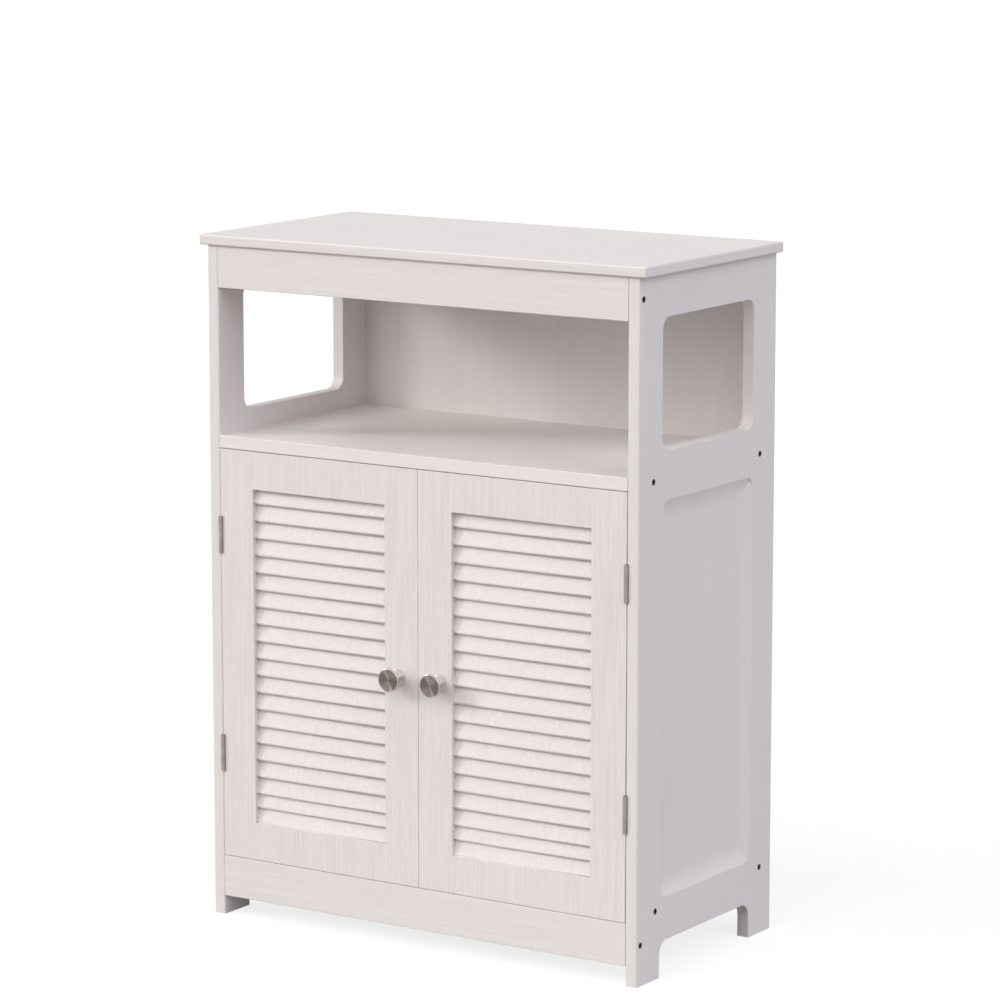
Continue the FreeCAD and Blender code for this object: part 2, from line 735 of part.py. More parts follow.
def make_cross_boards():
    finish(cross_board("top_front_rail", (0, RAIL_BOTTOM), (S.board, PANEL_TOP), RAIL_SCREWS, RAIL_DOWELS))
    finish(cross_board("kick_board", (0, S.kick_gap), (S.board, OPENING_BOTTOM), KICK_SCREWS, KICK_DOWELS))

    shelf = cross_board("middle_shelf", (0, OPENING_TOP), (REBATE_Y, SHELF_TOP), SHELF_SCREWS, SHELF_DOWELS)
    nails = SHELF_NAILS + [(-x, z) for x, z in SHELF_NAILS]
    cut_holes(shelf, "XZ_Plane", NAIL_TIP_Y, REBATE_Y, nails, NAIL_HOLE)
    screw_tips = OPENING_TOP + S.catch_screw_bite + S.fit_play
    catch_screws = CATCH_SCREWS + [(-x, y) for x, y in CATCH_SCREWS]
    cut_holes(shelf, "XY_Plane", OPENING_TOP, screw_tips, catch_screws, CATCH_SCREW_HOLE)
    finish(shelf)

    low = (BOTTOM_FRONT, OPENING_BOTTOM)
    high = (REBATE_Y, BOTTOM_TOP)
    floor = cross_board("bottom_board", low, high, BOTTOM_SCREWS, BOTTOM_DOWELS)
    nails = BOTTOM_NAILS + [(-x, z) for x, z in BOTTOM_NAILS]
    cut_holes(floor, "XZ_Plane", NAIL_TIP_Y, REBATE_Y, nails, NAIL_HOLE)
    finish(floor)


def make_back_panel():
    body = new_body("back_panel")
    half = INNER_X + S.rebate_width - S.back_play
    add_block(body, (-half, REBATE_Y, OPENING_BOTTOM), (half, S.carcass_depth, PANEL_TOP - S.back_play))
    right = SIDE_NAILS + SHELF_NAILS + BOTTOM_NAILS
    both = right + [(-x, z) for x, z in right]
    cut_holes(body, "XZ_Plane", REBATE_Y, S.carcass_depth, both, NAIL_HOLE)
    return finish(body)


def make_back_nails():
    body = new_body("back_nails_right")
    centres = SIDE_NAILS + SHELF_NAILS + BOTTOM_NAILS
    add_rods(body, "XZ_Plane", NAIL_TIP_Y, S.carcass_depth, centres, S.nail_diameter)
    head_back = S.carcass_depth + S.nail_head_thickness
    add_rods(body, "XZ_Plane", S.carcass_depth, head_back, centres, S.nail_head_diameter)
    return both_sides(body, "back_nails")


def make_adjustable_shelf():
    body = new_body("adjustable_shelf")
    half = INNER_X - S.shelf_end_play
    underside = PIN_Z + S.pin_diameter / 2
    front = S.shelf_front_setback
    add_block(body, (-half, front, underside), (half, REBATE_Y - S.shelf_back_play, underside + S.board))
    ease_front(body, front)
    finish(body)

    pins = new_body("shelf_pins_right")
    add_rods(pins, "YZ_Plane", INNER_X - S.pin_reach, INNER_X + S.pin_depth, PINS, S.pin_diameter)
    both_sides(pins, "shelf_pins")


# ---------------------------------------------------------------- carcass fasteners

def make_side_screws():
    """Socket-head screws through the side panels into the ends of the cross boards."""
    body = new_body("side_screws_right")
    head_x = OUTER_X - S.screw_head_length
    add_rods(body, "YZ_Plane", SCREW_TIP_X, head_x, SIDE_SCREWS, S.screw_diameter)
    add_rods(body, "YZ_Plane", head_x, OUTER_X, SIDE_SCREWS, S.screw_head_diameter)
    sockets = new_sketch(body, "YZ_Plane", OUTER_X - S.screw_socket_depth)
    for centre in SIDE_SCREWS:
        draw_hexagon(sockets, centre, S.screw_socket)
    cut(body, sockets, "YZ_Plane", S.screw_socket_depth)
    return both_sides(body, "side_screws")


def make_dowels():
    body = new_body("board_dowels_right")
    add_rods(body, "YZ_Plane", DOWEL_BUTT_X, DOWEL_TIP_X, SIDE_DOWELS, S.dowel_diameter)
    both_sides(body, "board_dowels")
    body = new_body("top_dowels_right")
    dowel_top = PANEL_TOP + S.dowel_top_depth
    add_rods(body, "XY_Plane", dowel_top - S.dowel_length, dowel_top, TOP_DOWELS, S.dowel_diameter)
    both_sides(body, "top_dowels")


def make_cams():
    """Cam bolts screwed into the top board, and the cam nuts in the side panels that pull them down."""
    bolts = new_body("cam_bolts_right")
    head_bottom = CAM_Z - S.cam_bolt_head / 2
    head_top = head_bottom + S.cam_bolt_head
    neck_top = head_top + S.cam_bolt_head
    add_rods(bolts, "XY_Plane", neck_top, PANEL_TOP + S.dowel_top_depth, CAM_BOLTS, S.cam_bolt_diameter)
    add_rods(bolts, "XY_Plane", head_top, neck_top, CAM_BOLTS, S.cam_bolt_neck)
    add_rods(bolts, "XY_Plane", head_bottom, head_top, CAM_BOLTS, S.cam_bolt_diameter)
    both_sides(bolts, "cam_bolts")

    nuts = new_body("cam_nuts_right")
    add_rods(nuts, "YZ_Plane", INNER_X, INNER_X + S.cam_length, CAMS, S.cam_diameter)
    bolt_room = S.cam_bolt_diameter + S.fit_play * 2
    nut_top = CAM_Z + S.cam_diameter / 2
    cut_holes(nuts, "XY_Plane", head_bottom - S.fit_play, nut_top, CAM_BOLTS, bolt_room)
    slots = new_sketch(nuts, "YZ_Plane", INNER_X)
    half_length = S.cam_diameter / 4
    half_width = S.cam_slot_width / 2
    for y, z in CAMS:
        draw_rectangle(slots, (y - half_length, z - half_width), (y + half_length, z + half_width))
    cut(nuts, slots, "YZ_Plane", S.cam_slot_depth)
    both_sides(nuts, "cam_nuts")


# ---------------------------------------------------------------- doors

def slat_outline(sketch, nose_z, width, play):
    """Section of a slat whose front lower corner is at nose_z; it leans back as it rises."""
    rise = (sine(S.slat_tilt), cosine(S.slat_tilt))
    through = (cosine(S.slat_tilt), -sine(S.slat_tilt))

    def corner(along, across):
        return (
            S.slat_setback + rise[0] * along + through[0] * across,
            nose_z + rise[1] * along + through[1] * across,
        )

    low = -as_size(play)
    high = as_size(width) + play
    back = S.slat_thickness + play
    draw_polygon(sketch, [corner(low, low), corner(high, low), corner(high, back), corner(low, back)])


def slat_rows():
    """(front lower corner's height, width, count, pitch) of each run of slats, from the top down."""
    return [
        (LOUVRE_TOP - S.top_slat_drop, S.top_slat_width, as_size(1), SLAT_PITCH),
        (LOWEST_NOSE + LOW_RUN, S.slat_width, SLAT_COUNT, SLAT_PITCH),
        (LOWEST_NOSE, S.slat_width, S.low_slat_count, S.low_slat_pitch),
    ]


def cut_slat_slots(body, start, depth):
    """Cuts a stile's blind slots for the slat ends."""
    for nose_z, width, count, pitch in slat_rows():
        sketch = new_sketch(body, "YZ_Plane", start)
        slat_outline(sketch, nose_z, width, S.fit_play)
        slot = cut(body, sketch, "YZ_Plane", depth)
        if count.value > 1:
            repeat(body, [slot], pitch, count)


def make_louvre_slats():
    body = new_body("louvre_slats_right")
    start = LOUVRE_INNER_X - S.slat_tenon
    length = LOUVRE_OUTER_X - LOUVRE_INNER_X + S.slat_tenon * 2
    for nose_z, width, count, pitch in slat_rows():
        sketch = new_sketch(body, "YZ_Plane", start)
        slat_outline(sketch, nose_z, width, 0)
        slat = grow(body, sketch, "YZ_Plane", length)
        if count.value > 1:
            repeat(body, [slat], pitch, count)
    soften(body, S.slat_nose_round, lambda start, end: at_both(start, end, y=S.slat_setback))
    finish(body)
    mirrored(body, "louvre_slats_left")


def door_dowel_places():
    """(Y, Z) of the dowels that join the rails to the stiles."""
    middles = (DOOR_BOTTOM + S.door_rail_height / 2, DOOR_TOP - S.door_rail_height / 2)
    steps = [S.door_dowel_spread * sign for sign in (-1, 1)]
    return [(S.door_thickness / 2, middle + step) for middle in middles for step in steps]


def cut_door_dowel_holes(body, joint_x, side, centres):
    """Drills dowel holes from a joint plane towards one side."""
    depth = S.dowel_length / 2 + S.fit_play
    start = joint_x if side > 0 else joint_x - depth
    cut_holes(body, "YZ_Plane", start, start + depth, centres, DOWEL_HOLE)


def soften_door_face(body, x):
    """Rounds an upright front edge of the door."""
    soften(body, S.door_edge_round, lambda start, end: at_both(start, end, x=x, y=0))


def make_hinge_stile():
    body = new_body("hinge_stile_right")
    add_block(body, (LOUVRE_OUTER_X, 0, DOOR_BOTTOM), (DOOR_OUTER_X, S.door_thickness, DOOR_TOP))
    soften_door_face(body, DOOR_OUTER_X)
    cut_slat_slots(body, LOUVRE_OUTER_X, S.slat_tenon + S.fit_play)
    cut_door_dowel_holes(body, LOUVRE_OUTER_X, 1, door_dowel_places())
    play = S.fit_play
    leaf_x = AXIS_X - S.leaf_gap / 2 - S.leaf_thickness
    seat = new_sketch(body, "YZ_Plane", leaf_x)
    bottom = HINGE_BOTTOM - play
    top = bottom + S.hinge_length + play * 2
    draw_rectangle(seat, (TAB_FRONT, bottom), (LEAF_BACK + play, top))
    seat_cut = cut(body, seat, "YZ_Plane", DOOR_OUTER_X - leaf_x)
    pin_room = S.hinge_pin_head_thickness + S.fit_play
    round_cut = cut_holes(
        body, "XY_Plane", HINGE_BOTTOM - pin_room, HINGE_BOTTOM + S.hinge_length + pin_room,
        [(AXIS_X, AXIS_Y)], KNUCKLE_ROOM_DIAMETER)
    tip = DOOR_OUTER_X - S.hinge_screw_length
    screw_cut = cut_holes(body, "YZ_Plane", tip, DOOR_OUTER_X, HINGE_SCREWS, HINGE_SCREW_HOLE)
    repeat(body, [seat_cut, round_cut, screw_cut], HINGE_SPACING, 2)
    finish(body)
    mirrored(body, "hinge_stile_left")


def make_meeting_stile():
    body = new_body("meeting_stile_right")
    add_block(body, (DOOR_INNER_X, 0, DOOR_BOTTOM), (LOUVRE_INNER_X, S.door_thickness, DOOR_TOP))
    soften_door_face(body, DOOR_INNER_X)
    depth = S.slat_tenon + S.fit_play
    cut_slat_slots(body, LOUVRE_INNER_X - depth, depth)
    cut_door_dowel_holes(body, LOUVRE_INNER_X, -1, door_dowel_places())
    knob_hole = S.knob_screw_diameter + S.knob_hole_play
    cut_holes(body, "XZ_Plane", 0, S.door_thickness, [(KNOB_X, KNOB_Z)], knob_hole)
    strike_tip = STRIKE_BACK - S.strike_screw_length - S.fit_play
    cut_holes(body, "XZ_Plane", strike_tip, S.door_thickness, STRIKE_SCREW, HINGE_SCREW_HOLE)
    finish(body)
    mirrored(body, "meeting_stile_left")


def make_door_rails():
    dowels = door_dowel_places()
    rails = (("door_bottom_rail", DOOR_BOTTOM, dowels[:2]), ("door_top_rail", LOUVRE_TOP, dowels[2:]))
    for name, bottom, dowels in rails:
        body = new_body(f"{name}_right")
        top = bottom + S.door_rail_height
        add_block(body, (LOUVRE_INNER_X, 0, bottom), (LOUVRE_OUTER_X, S.door_thickness, top))
        cut_door_dowel_holes(body, LOUVRE_INNER_X, 1, dowels)
        cut_door_dowel_holes(body, LOUVRE_OUTER_X, -1, dowels)
        finish(body)
        mirrored(body, f"{name}_left")


def make_door_dowels():
    body = new_body("door_dowels_right")
    half = S.dowel_length / 2
    for joint_x in (LOUVRE_INNER_X, LOUVRE_OUTER_X):
        add_rods(body, "YZ_Plane", joint_x - half, joint_x + half, door_dowel_places(), S.dowel_diameter)
    finish(body)
    mirrored(body, "door_dowels_left")


# ---------------------------------------------------------------- hinges

def add_leaf(body, side, knuckles):
    """One hinge leaf: a flat plate, and a tab and a tube for each of its knuckles.

    side is 1 for the leaf on the side panel and -1 for the leaf on the door; knuckles are
    (bottom, top) pairs. Returns the features, for repeating.
    """
    near = AXIS_X + S.leaf_gap / 2 * side
    left = near if side > 0 else near - S.leaf_thickness
    right = left + S.leaf_thickness
    top = HINGE_BOTTOM + S.hinge_length
    features = [add_block(body, (left, LEAF_FRONT, HINGE_BOTTOM), (right, LEAF_BACK, top))]
    bore = S.hinge_pin_diameter + S.running_play * 2
    for low, high in knuckles:
        tube = new_sketch(body, "XY_Plane", low)
        draw_circles(tube, [(AXIS_X, AXIS_Y)], S.knuckle_diameter)
        draw_circles(tube, [(AXIS_X, AXIS_Y)], bore)
        features.append(add_block(body, (left, TAB_FRONT, low), (right, LEAF_FRONT, high)))
        features.append(grow(body, tube, "XY_Plane", high - low))
    return features


def make_hinges():
    """Two butt hinges a door, each with a frame leaf, a door leaf, a pin and four screws."""
    third = S.hinge_length / 3
    top = HINGE_BOTTOM + S.hinge_length
    play = S.knuckle_play / 2
    outer_knuckles = [(HINGE_BOTTOM, HINGE_BOTTOM + third - play), (top - third + play, top)]
    middle_knuckle = [(HINGE_BOTTOM + third + play, top - third - play)]
    head = S.hinge_screw_diameter + S.leaf_thickness * 2
    frame_near = AXIS_X + S.leaf_gap / 2
    door_near = AXIS_X - S.leaf_gap / 2

    frame = new_body("hinge_frame_leaves_right")
    features = add_leaf(frame, 1, outer_knuckles)
    features.append(cut_holes(
        frame, "YZ_Plane", frame_near, frame_near + S.leaf_thickness, HINGE_SCREWS, head + S.fit_play, -45))
    repeat(frame, features, HINGE_SPACING, 2)
    both_sides(frame, "hinge_frame_leaves")

    door = new_body("hinge_door_leaves_right")
    features = add_leaf(door, -1, middle_knuckle)
    narrow = S.hinge_screw_diameter + S.fit_play
    features.append(cut_holes(
        door, "YZ_Plane", door_near - S.leaf_thickness, door_near, HINGE_SCREWS, narrow, 45))
    repeat(door, features, HINGE_SPACING, 2)
    finish(door)
    mirrored(door, "hinge_door_leaves_left")

    pins = new_body("hinge_pins_right")
    shaft = add_rods(pins, "XY_Plane", HINGE_BOTTOM, top, [(AXIS_X, AXIS_Y)], S.hinge_pin_diameter)
    heads = []
    for low in (HINGE_BOTTOM - S.hinge_pin_head_thickness, top):
        high = low + S.hinge_pin_head_thickness
        heads.append(add_rods(pins, "XY_Plane", low, high, [(AXIS_X, AXIS_Y)], S.hinge_pin_head))
    repeat(pins, [shaft] + heads, HINGE_SPACING, 2)
    both_sides(pins, "hinge_pins")

    frame_screws = new_body("hinge_frame_screws_right")
    head_end = frame_near + S.leaf_thickness
    cone = add_rods(frame_screws, "YZ_Plane", frame_near, head_end, HINGE_SCREWS, head, -45)
    tip = INNER_X + S.hinge_screw_length - S.fit_play
    shank = add_rods(frame_screws, "YZ_Plane", head_end, tip, HINGE_SCREWS, S.hinge_screw_diameter)
    repeat(frame_screws, [cone, shank], HINGE_SPACING, 2)
    both_sides(frame_screws, "hinge_frame_screws")

    door_screws = new_body("hinge_door_screws_right")
    tip = DOOR_OUTER_X - S.hinge_screw_length + S.fit_play
    head_end = door_near - S.leaf_thickness
    shank = add_rods(door_screws, "YZ_Plane", tip, head_end, HINGE_SCREWS, S.hinge_screw_diameter)
    cone = add_rods(door_screws, "YZ_Plane", head_end, door_near, HINGE_SCREWS, S.hinge_screw_diameter, 45)
    repeat(door_screws, [shank, cone], HINGE_SPACING, 2)
    finish(door_screws)
    mirrored(door_screws, "hinge_door_screws_left")


# ---------------------------------------------------------------- knobs and catches

def place_on_knob_axis(body):
    """Moves a turned piece from the body's Y axis to the knob's axis."""
    bind(body, ".Placement.Base.x", KNOB_X)
    bind(body, ".Placement.Base.z", KNOB_Z)


def turn(body, outline):
    """Turns an outline of (radius, Y) corners about the body's Y axis."""
    sketch = new_sketch(body, "XY_Plane", 0)
    draw_polygon(sketch, outline)
    revolution = body.newObject("PartDesign::Revolution", "Revolution")
    revolution.Profile = sketch
    revolution.ReferenceAxis = (sketch, ["V_Axis"])
    revolution.Angle = 360
    return revolution


def soften_rims(body, radius, rims):
    """Fillets the rims of a turned piece that lie at (radius, Y)."""
    doc.recompute()
    tip = body.Tip
    names = []
    for number, edge in enumerate(tip.Shape.Edges, start=1):
        curve = edge.Curve
        if isinstance(curve, Part.Circle):
            if any(same(curve.Radius, reach) and same(curve.Center.y, y) for reach, y in rims):
                names.append(f"Edge{number}")
    fillet = body.newObject("PartDesign::Fillet", "Fillet")
    fillet.Base = (tip, names)
    bind(fillet, "Radius", radius)


def make_knobs():
    body = new_body("knob_right")
    place_on_knob_axis(body)
    neck = S.knob_neck_diameter / 2
    head = S.knob_head_diameter / 2
    base = S.knob_base_diameter / 2
    face = -S.knob_reach
    head_back = face + S.knob_head_thickness
    bore = S.knob_screw_diameter / 2 + S.fit_play
    bore_end = -S.knob_screw_engagement - S.fit_play
    turn(body, [
        (bore, 0), (base, 0), (base, -S.knob_base_thickness), (neck, -S.knob_base_thickness * 2),
        (neck, head_back + S.knob_flare), (head, head_back), (head, face), (head - S.knob_rim, face),
        (0, face + S.knob_dish), (0, bore_end), (bore, bore_end),
    ])
    soften_rims(body, S.knob_edge_round, [(head, head_back), (head, face), (base, -S.knob_base_thickness)])
    finish(body)
    mirrored(body, "knob_left")

    screw = new_body("knob_screw_right")
    place_on_knob_axis(screw)
    shank = S.knob_screw_diameter / 2
    screw_head = S.knob_screw_head_diameter / 2
    back = S.door_thickness + S.knob_screw_head_thickness
    turn(screw, [
        (0, -S.knob_screw_engagement), (shank, -S.knob_screw_engagement), (shank, S.door_thickness),
        (screw_head, S.door_thickness), (screw_head, back), (0, back),
    ])
    finish(screw)
    mirrored(screw, "knob_screw_left")


def make_catches():
    """Magnetic catches under the middle shelf, and the strike plates behind the doors."""
    housing = new_body("catch_housings_right")
    half = S.catch_width / 2
    add_block(
        housing, (CATCH_X - half, CATCH_FRONT, CATCH_BOTTOM),
        (CATCH_X + half, CATCH_FRONT + S.catch_depth, OPENING_TOP))
    magnet_half = S.magnet_width / 2
    magnet_bottom = CATCH_BOTTOM + (S.catch_height - S.magnet_height) / 2
    magnet_back = MAGNET_FRONT + S.magnet_depth
    play = S.fit_play
    cut_block(
        housing, (CATCH_X - magnet_half - play, CATCH_FRONT, magnet_bottom - play),
        (CATCH_X + magnet_half + play, magnet_back, magnet_bottom + S.magnet_height + play))
    cut_holes(housing, "XY_Plane", CATCH_BOTTOM, OPENING_TOP, CATCH_SCREWS, CATCH_SCREW_HOLE)
    head_top = CATCH_BOTTOM + S.catch_screw_head_length
    cut_holes(housing, "XY_Plane", CATCH_BOTTOM, head_top, CATCH_SCREWS, S.catch_screw_head + play * 2)
    both_sides(housing, "catch_housings")

    magnet = new_body("catch_magnets_right")
    add_block(
        magnet, (CATCH_X - magnet_half, MAGNET_FRONT, magnet_bottom),
        (CATCH_X + magnet_half, magnet_back, magnet_bottom + S.magnet_height))
    both_sides(magnet, "catch_magnets")

    screws = new_body("catch_screws_right")
    tips = OPENING_TOP + S.catch_screw_bite
    add_rods(screws, "XY_Plane", CATCH_BOTTOM, head_top, CATCH_SCREWS, S.catch_screw_head)
    add_rods(screws, "XY_Plane", head_top, tips, CATCH_SCREWS, S.catch_screw_diameter)
    both_sides(screws, "catch_screws")

    strike = new_body("strike_plate_right")
    half = S.strike_width / 2
    add_block(
        strike, (CATCH_X - half, S.door_thickness, STRIKE_TOP - S.strike_height),
        (CATCH_X + half, STRIKE_BACK, STRIKE_TOP))
    narrow = S.hinge_screw_diameter + S.fit_play
    cut_holes(strike, "XZ_Plane", S.door_thickness, STRIKE_BACK, STRIKE_SCREW, narrow, 45)
    finish(strike)
    mirrored(strike, "strike_plate_left")

    screw = new_body("strike_screw_right")
    tip = STRIKE_BACK - S.strike_screw_length
    add_rods(screw, "XZ_Plane", tip, S.door_thickness, STRIKE_SCREW, S.hinge_screw_diameter)
    add_rods(screw, "XZ_Plane", S.door_thickness, STRIKE_BACK, STRIKE_SCREW, S.hinge_screw_diameter, 45)
    finish(screw)
    mirrored(screw, "strike_screw_left")


# ---------------------------------------------------------------- build, check and write

make_top_board()
make_side_panel()
make_cross_boards()
make_back_panel()
make_back_nails()
make_adjustable_shelf()
make_side_screws()
make_dowels()
make_cams()
make_louvre_slats()
make_hinge_stile()
make_meeting_stile()
make_door_rails()
make_door_dowels()
make_hinges()
make_knobs()
make_catches()
doc.recompute()

for item in doc.Objects:
    if "Invalid" in item.State or "Error" in item.State:
        raise RuntimeError(f"{item.Name} failed to recompute: {item.State}")
for item in finished:
    if item.Shape.isNull() or not item.Shape.isValid():
        raise RuntimeError(f"{item.Label} has no valid shape")

os.makedirs("parts", exist_ok=True)
for item in finished:
    item.Shape.exportStep(f"parts/{item.Label}.step")
    box = item.Shape.BoundBox
    corners = [round(value, 2) for value in (box.XMin, box.YMin, box.ZMin, box.XMax, box.YMax, box.ZMax)]
    print(f"{item.Label}: {len(item.Shape.Solids)} solids, {item.Shape.Volume:.0f} mm3, {corners}")
print(len(finished), "nodes")
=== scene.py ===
import json
import math

import bmesh
import bpy
from mathutils import Euler, Matrix, Vector


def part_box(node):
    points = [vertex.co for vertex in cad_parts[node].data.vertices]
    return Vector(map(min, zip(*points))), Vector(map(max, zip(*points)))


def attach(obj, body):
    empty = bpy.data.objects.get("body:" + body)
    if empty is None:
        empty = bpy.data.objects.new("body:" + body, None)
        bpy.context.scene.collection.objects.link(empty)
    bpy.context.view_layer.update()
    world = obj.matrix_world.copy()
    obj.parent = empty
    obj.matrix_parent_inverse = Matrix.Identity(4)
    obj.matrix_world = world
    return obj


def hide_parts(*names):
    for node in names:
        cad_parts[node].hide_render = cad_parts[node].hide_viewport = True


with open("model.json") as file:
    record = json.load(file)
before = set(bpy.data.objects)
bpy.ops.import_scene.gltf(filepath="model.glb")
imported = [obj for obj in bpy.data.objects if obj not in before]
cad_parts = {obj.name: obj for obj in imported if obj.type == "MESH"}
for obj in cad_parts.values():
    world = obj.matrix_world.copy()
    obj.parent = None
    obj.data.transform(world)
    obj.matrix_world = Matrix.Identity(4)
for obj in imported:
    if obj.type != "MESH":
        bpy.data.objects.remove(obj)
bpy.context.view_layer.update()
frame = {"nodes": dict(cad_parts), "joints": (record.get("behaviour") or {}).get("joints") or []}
NODES = frame["nodes"]
MM = 0.001

# Louvred door cabinet: the looks of a white floor cabinet with an open bay over a louvred cupboard.
#
# X to the right seen from the front, Y to the back, Z up, metres. The boards keep their own solids
# and get a finish. The doors' frames, slats and knobs are modelled here on the right-hand side, in
# the places that the frame gives, and mirrored for the left.


# ---------------------------------------------------------------- places that the frame gives

STILE_LOW, STILE_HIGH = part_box("hinge_stile_right")
MEETING_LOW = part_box("meeting_stile_right")[0]
RAIL_LOW, RAIL_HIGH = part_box("door_top_rail_right")
BOTTOM_RAIL_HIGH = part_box("door_bottom_rail_right")[1]
SLATS_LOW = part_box("louvre_slats_right")[0]
LEAF_LOW, LEAF_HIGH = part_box("hinge_door_leaves_right")
KNOB_LOW, KNOB_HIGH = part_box("knob_right")
BACK_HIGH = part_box("back_panel")[1]
HINGE_AXIS = Vector(next(j["pos_m"] for j in frame["joints"] if j["name"] == "door_right_hinge"))

DOOR_FRONT = RAIL_LOW.y
DOOR_LOW = Vector((MEETING_LOW.x, RAIL_LOW.y, STILE_LOW.z))
DOOR_HIGH = Vector((STILE_HIGH.x, RAIL_HIGH.y, STILE_HIGH.z))
LOUVRE_LOW = Vector((RAIL_LOW.x, RAIL_LOW.y, BOTTOM_RAIL_HIGH.z))
LOUVRE_HIGH = Vector((RAIL_HIGH.x, RAIL_HIGH.y, RAIL_LOW.z))


# ---------------------------------------------------------------- sizes of the modelled pieces

# The door's frame: how far its rims are rounded, the film on its upright edges, the room about the
# hinges' knuckles, the play about their leaves, and how far a seat is cut past the door's edge.
FRAME_EASE = 0.3 * MM
FILM_WRAP = 0.25 * MM
KNUCKLE_ROOM = 2.75 * MM
ROOM_END = 0.7 * MM
LEAF_PLAY = 0.1 * MM
SEAT_OVERRUN = 2.0 * MM

# The louvre: its two lowest slats stand closer together than the run above them, the lowest is let
# into the bottom rail, and the top one is cut short. Each end laps a little into its stile.
SLAT_TILT = math.radians(17)
SLAT_THICKNESS = 4.5 * MM
SLAT_WIDTH = 24.0 * MM
TOP_SLAT_WIDTH = 16.0 * MM
SLAT_NOSE_ROUND = 2.0 * MM
SLAT_END_LAP = 0.1 * MM
LET_IN = 2.0 * MM
SLAT_FRONT = SLATS_LOW.y
LOW_PITCH = 16.5 * MM
LOWEST_NOSE = SLATS_LOW.z + SLAT_THICKNESS * math.sin(SLAT_TILT)
RUN_START = LOWEST_NOSE + LOW_PITCH * 2
RUN_STEPS = 17
TOP_NOSE_DROP = 17.0 * MM
SLAT_PITCH = (LOUVRE_HIGH.z - TOP_NOSE_DROP - RUN_START) / RUN_STEPS
LOW_NOSES = [LOWEST_NOSE, LOWEST_NOSE + LOW_PITCH]
NOSE_HEIGHTS = LOW_NOSES + [RUN_START + SLAT_PITCH * step for step in range(RUN_STEPS + 1)]

# The knob: radii about its axis, and reaches from the door's front. The dish is a list of rings,
# each a share of the face's radius and of the dish's depth.
KNOB_AXIS = (KNOB_LOW + KNOB_HIGH) / 2
KNOB_REACH = DOOR_FRONT - KNOB_LOW.y
KNOB_HEAD = (KNOB_HIGH.x - KNOB_LOW.x) / 2
KNOB_RIM = 1.5 * MM
KNOB_FACE = KNOB_HEAD - KNOB_RIM
KNOB_FOOT = 10.0 * MM
KNOB_FOOT_HIGH = 2.0 * MM
KNOB_NECK = 5.0 * MM
KNOB_NECK_START = KNOB_FOOT_HIGH * 2
KNOB_FLARE = 5.0 * MM
KNOB_HEAD_THICKNESS = 3.0 * MM
KNOB_HEAD_BACK = KNOB_REACH - KNOB_HEAD_THICKNESS
KNOB_DISH = 0.4 * MM
DISH_RINGS = ((0.76, 0.56), (0.48, 0.88))
KNOB_EASE = 1.0 * MM
KNOB_FACE_EASE = 0.3 * MM

# Faces past these areas are shaded flat: on a door's frame only those that look along an axis, so
# that the largest part of their normal is past SQUARE_ON. A frame's corner is rounded where its
# two faces turn by more than SHARP_CORNER.
LARGE_FACE = 4 * MM ** 2
SLAT_FACE = 400 * MM ** 2
SQUARE_ON = 0.999
SHARP_CORNER = math.radians(80)

# The steps of a rounding and of a turned piece, how near two places count as one, and the decimals
# of a metre to which a height is rounded.
EASE_STEPS = 3
ROUND_STEPS = 4
KNUCKLE_STEPS = 48
KNOB_STEPS = 96
SAME_PLACE = 0.001 * MM
SAME_RING = 0.02 * MM
HEIGHT_DECIMALS = 5


# ---------------------------------------------------------------- making pieces

def new_piece(bm, name, body, material, replaced):
    """An object from a mesh in its place, riding on a body and standing for nodes."""
    mesh = bpy.data.meshes.new(name)
    bm.to_mesh(mesh)
    bm.free()
    mesh.materials.append(material)
    piece = bpy.data.objects.new(name, mesh)
    bpy.context.scene.collection.objects.link(piece)
    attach(piece, body)
    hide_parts(*replaced)


def mirrored(bm):
    """The left-hand copy of a mesh."""
    left = bm.copy()
    bmesh.ops.scale(left, vec=(-1, 1, 1), verts=left.verts)
    bmesh.ops.recalc_face_normals(left, faces=left.faces)
    return left


def place_on_both_doors(bm, name, material, nodes):
    """A door's piece on the right, and its mirror image on the left."""
    for side, shape in (("left", mirrored(bm)), ("right", bm)):
        replaced = [f"{node}_{side}" for node in nodes]
        new_piece(shape, f"{name}_{side}", f"door_{side}", material, replaced)


def box_mesh(low, high):
    """A closed box between two corners."""
    bm = bmesh.new()
    bmesh.ops.create_cube(bm, size=1.0)
    bmesh.ops.scale(bm, vec=high - low, verts=bm.verts)
    bmesh.ops.translate(bm, vec=(low + high) / 2, verts=bm.verts)
    return bm


def cut_through(bm, point, normal):
    """Cuts a mesh along a plane, without taking anything away."""
    everything = list(bm.verts) + list(bm.edges) + list(bm.faces)
    bmesh.ops.bisect_plane(bm, geom=everything, plane_co=point, plane_no=normal)


def round_edges(bm, edges, radius, segments):
    """Rounds a mesh's edges."""
    bmesh.ops.bevel(
        bm, geom=edges, offset=radius, segments=segments, profile=0.5, affect="EDGES", material=-1)


def shade(bm, flat_faces):
    """Flat shading on the large faces and smooth shading on the roundings between them."""
    for face in bm.faces:
        face.smooth = face not in flat_faces


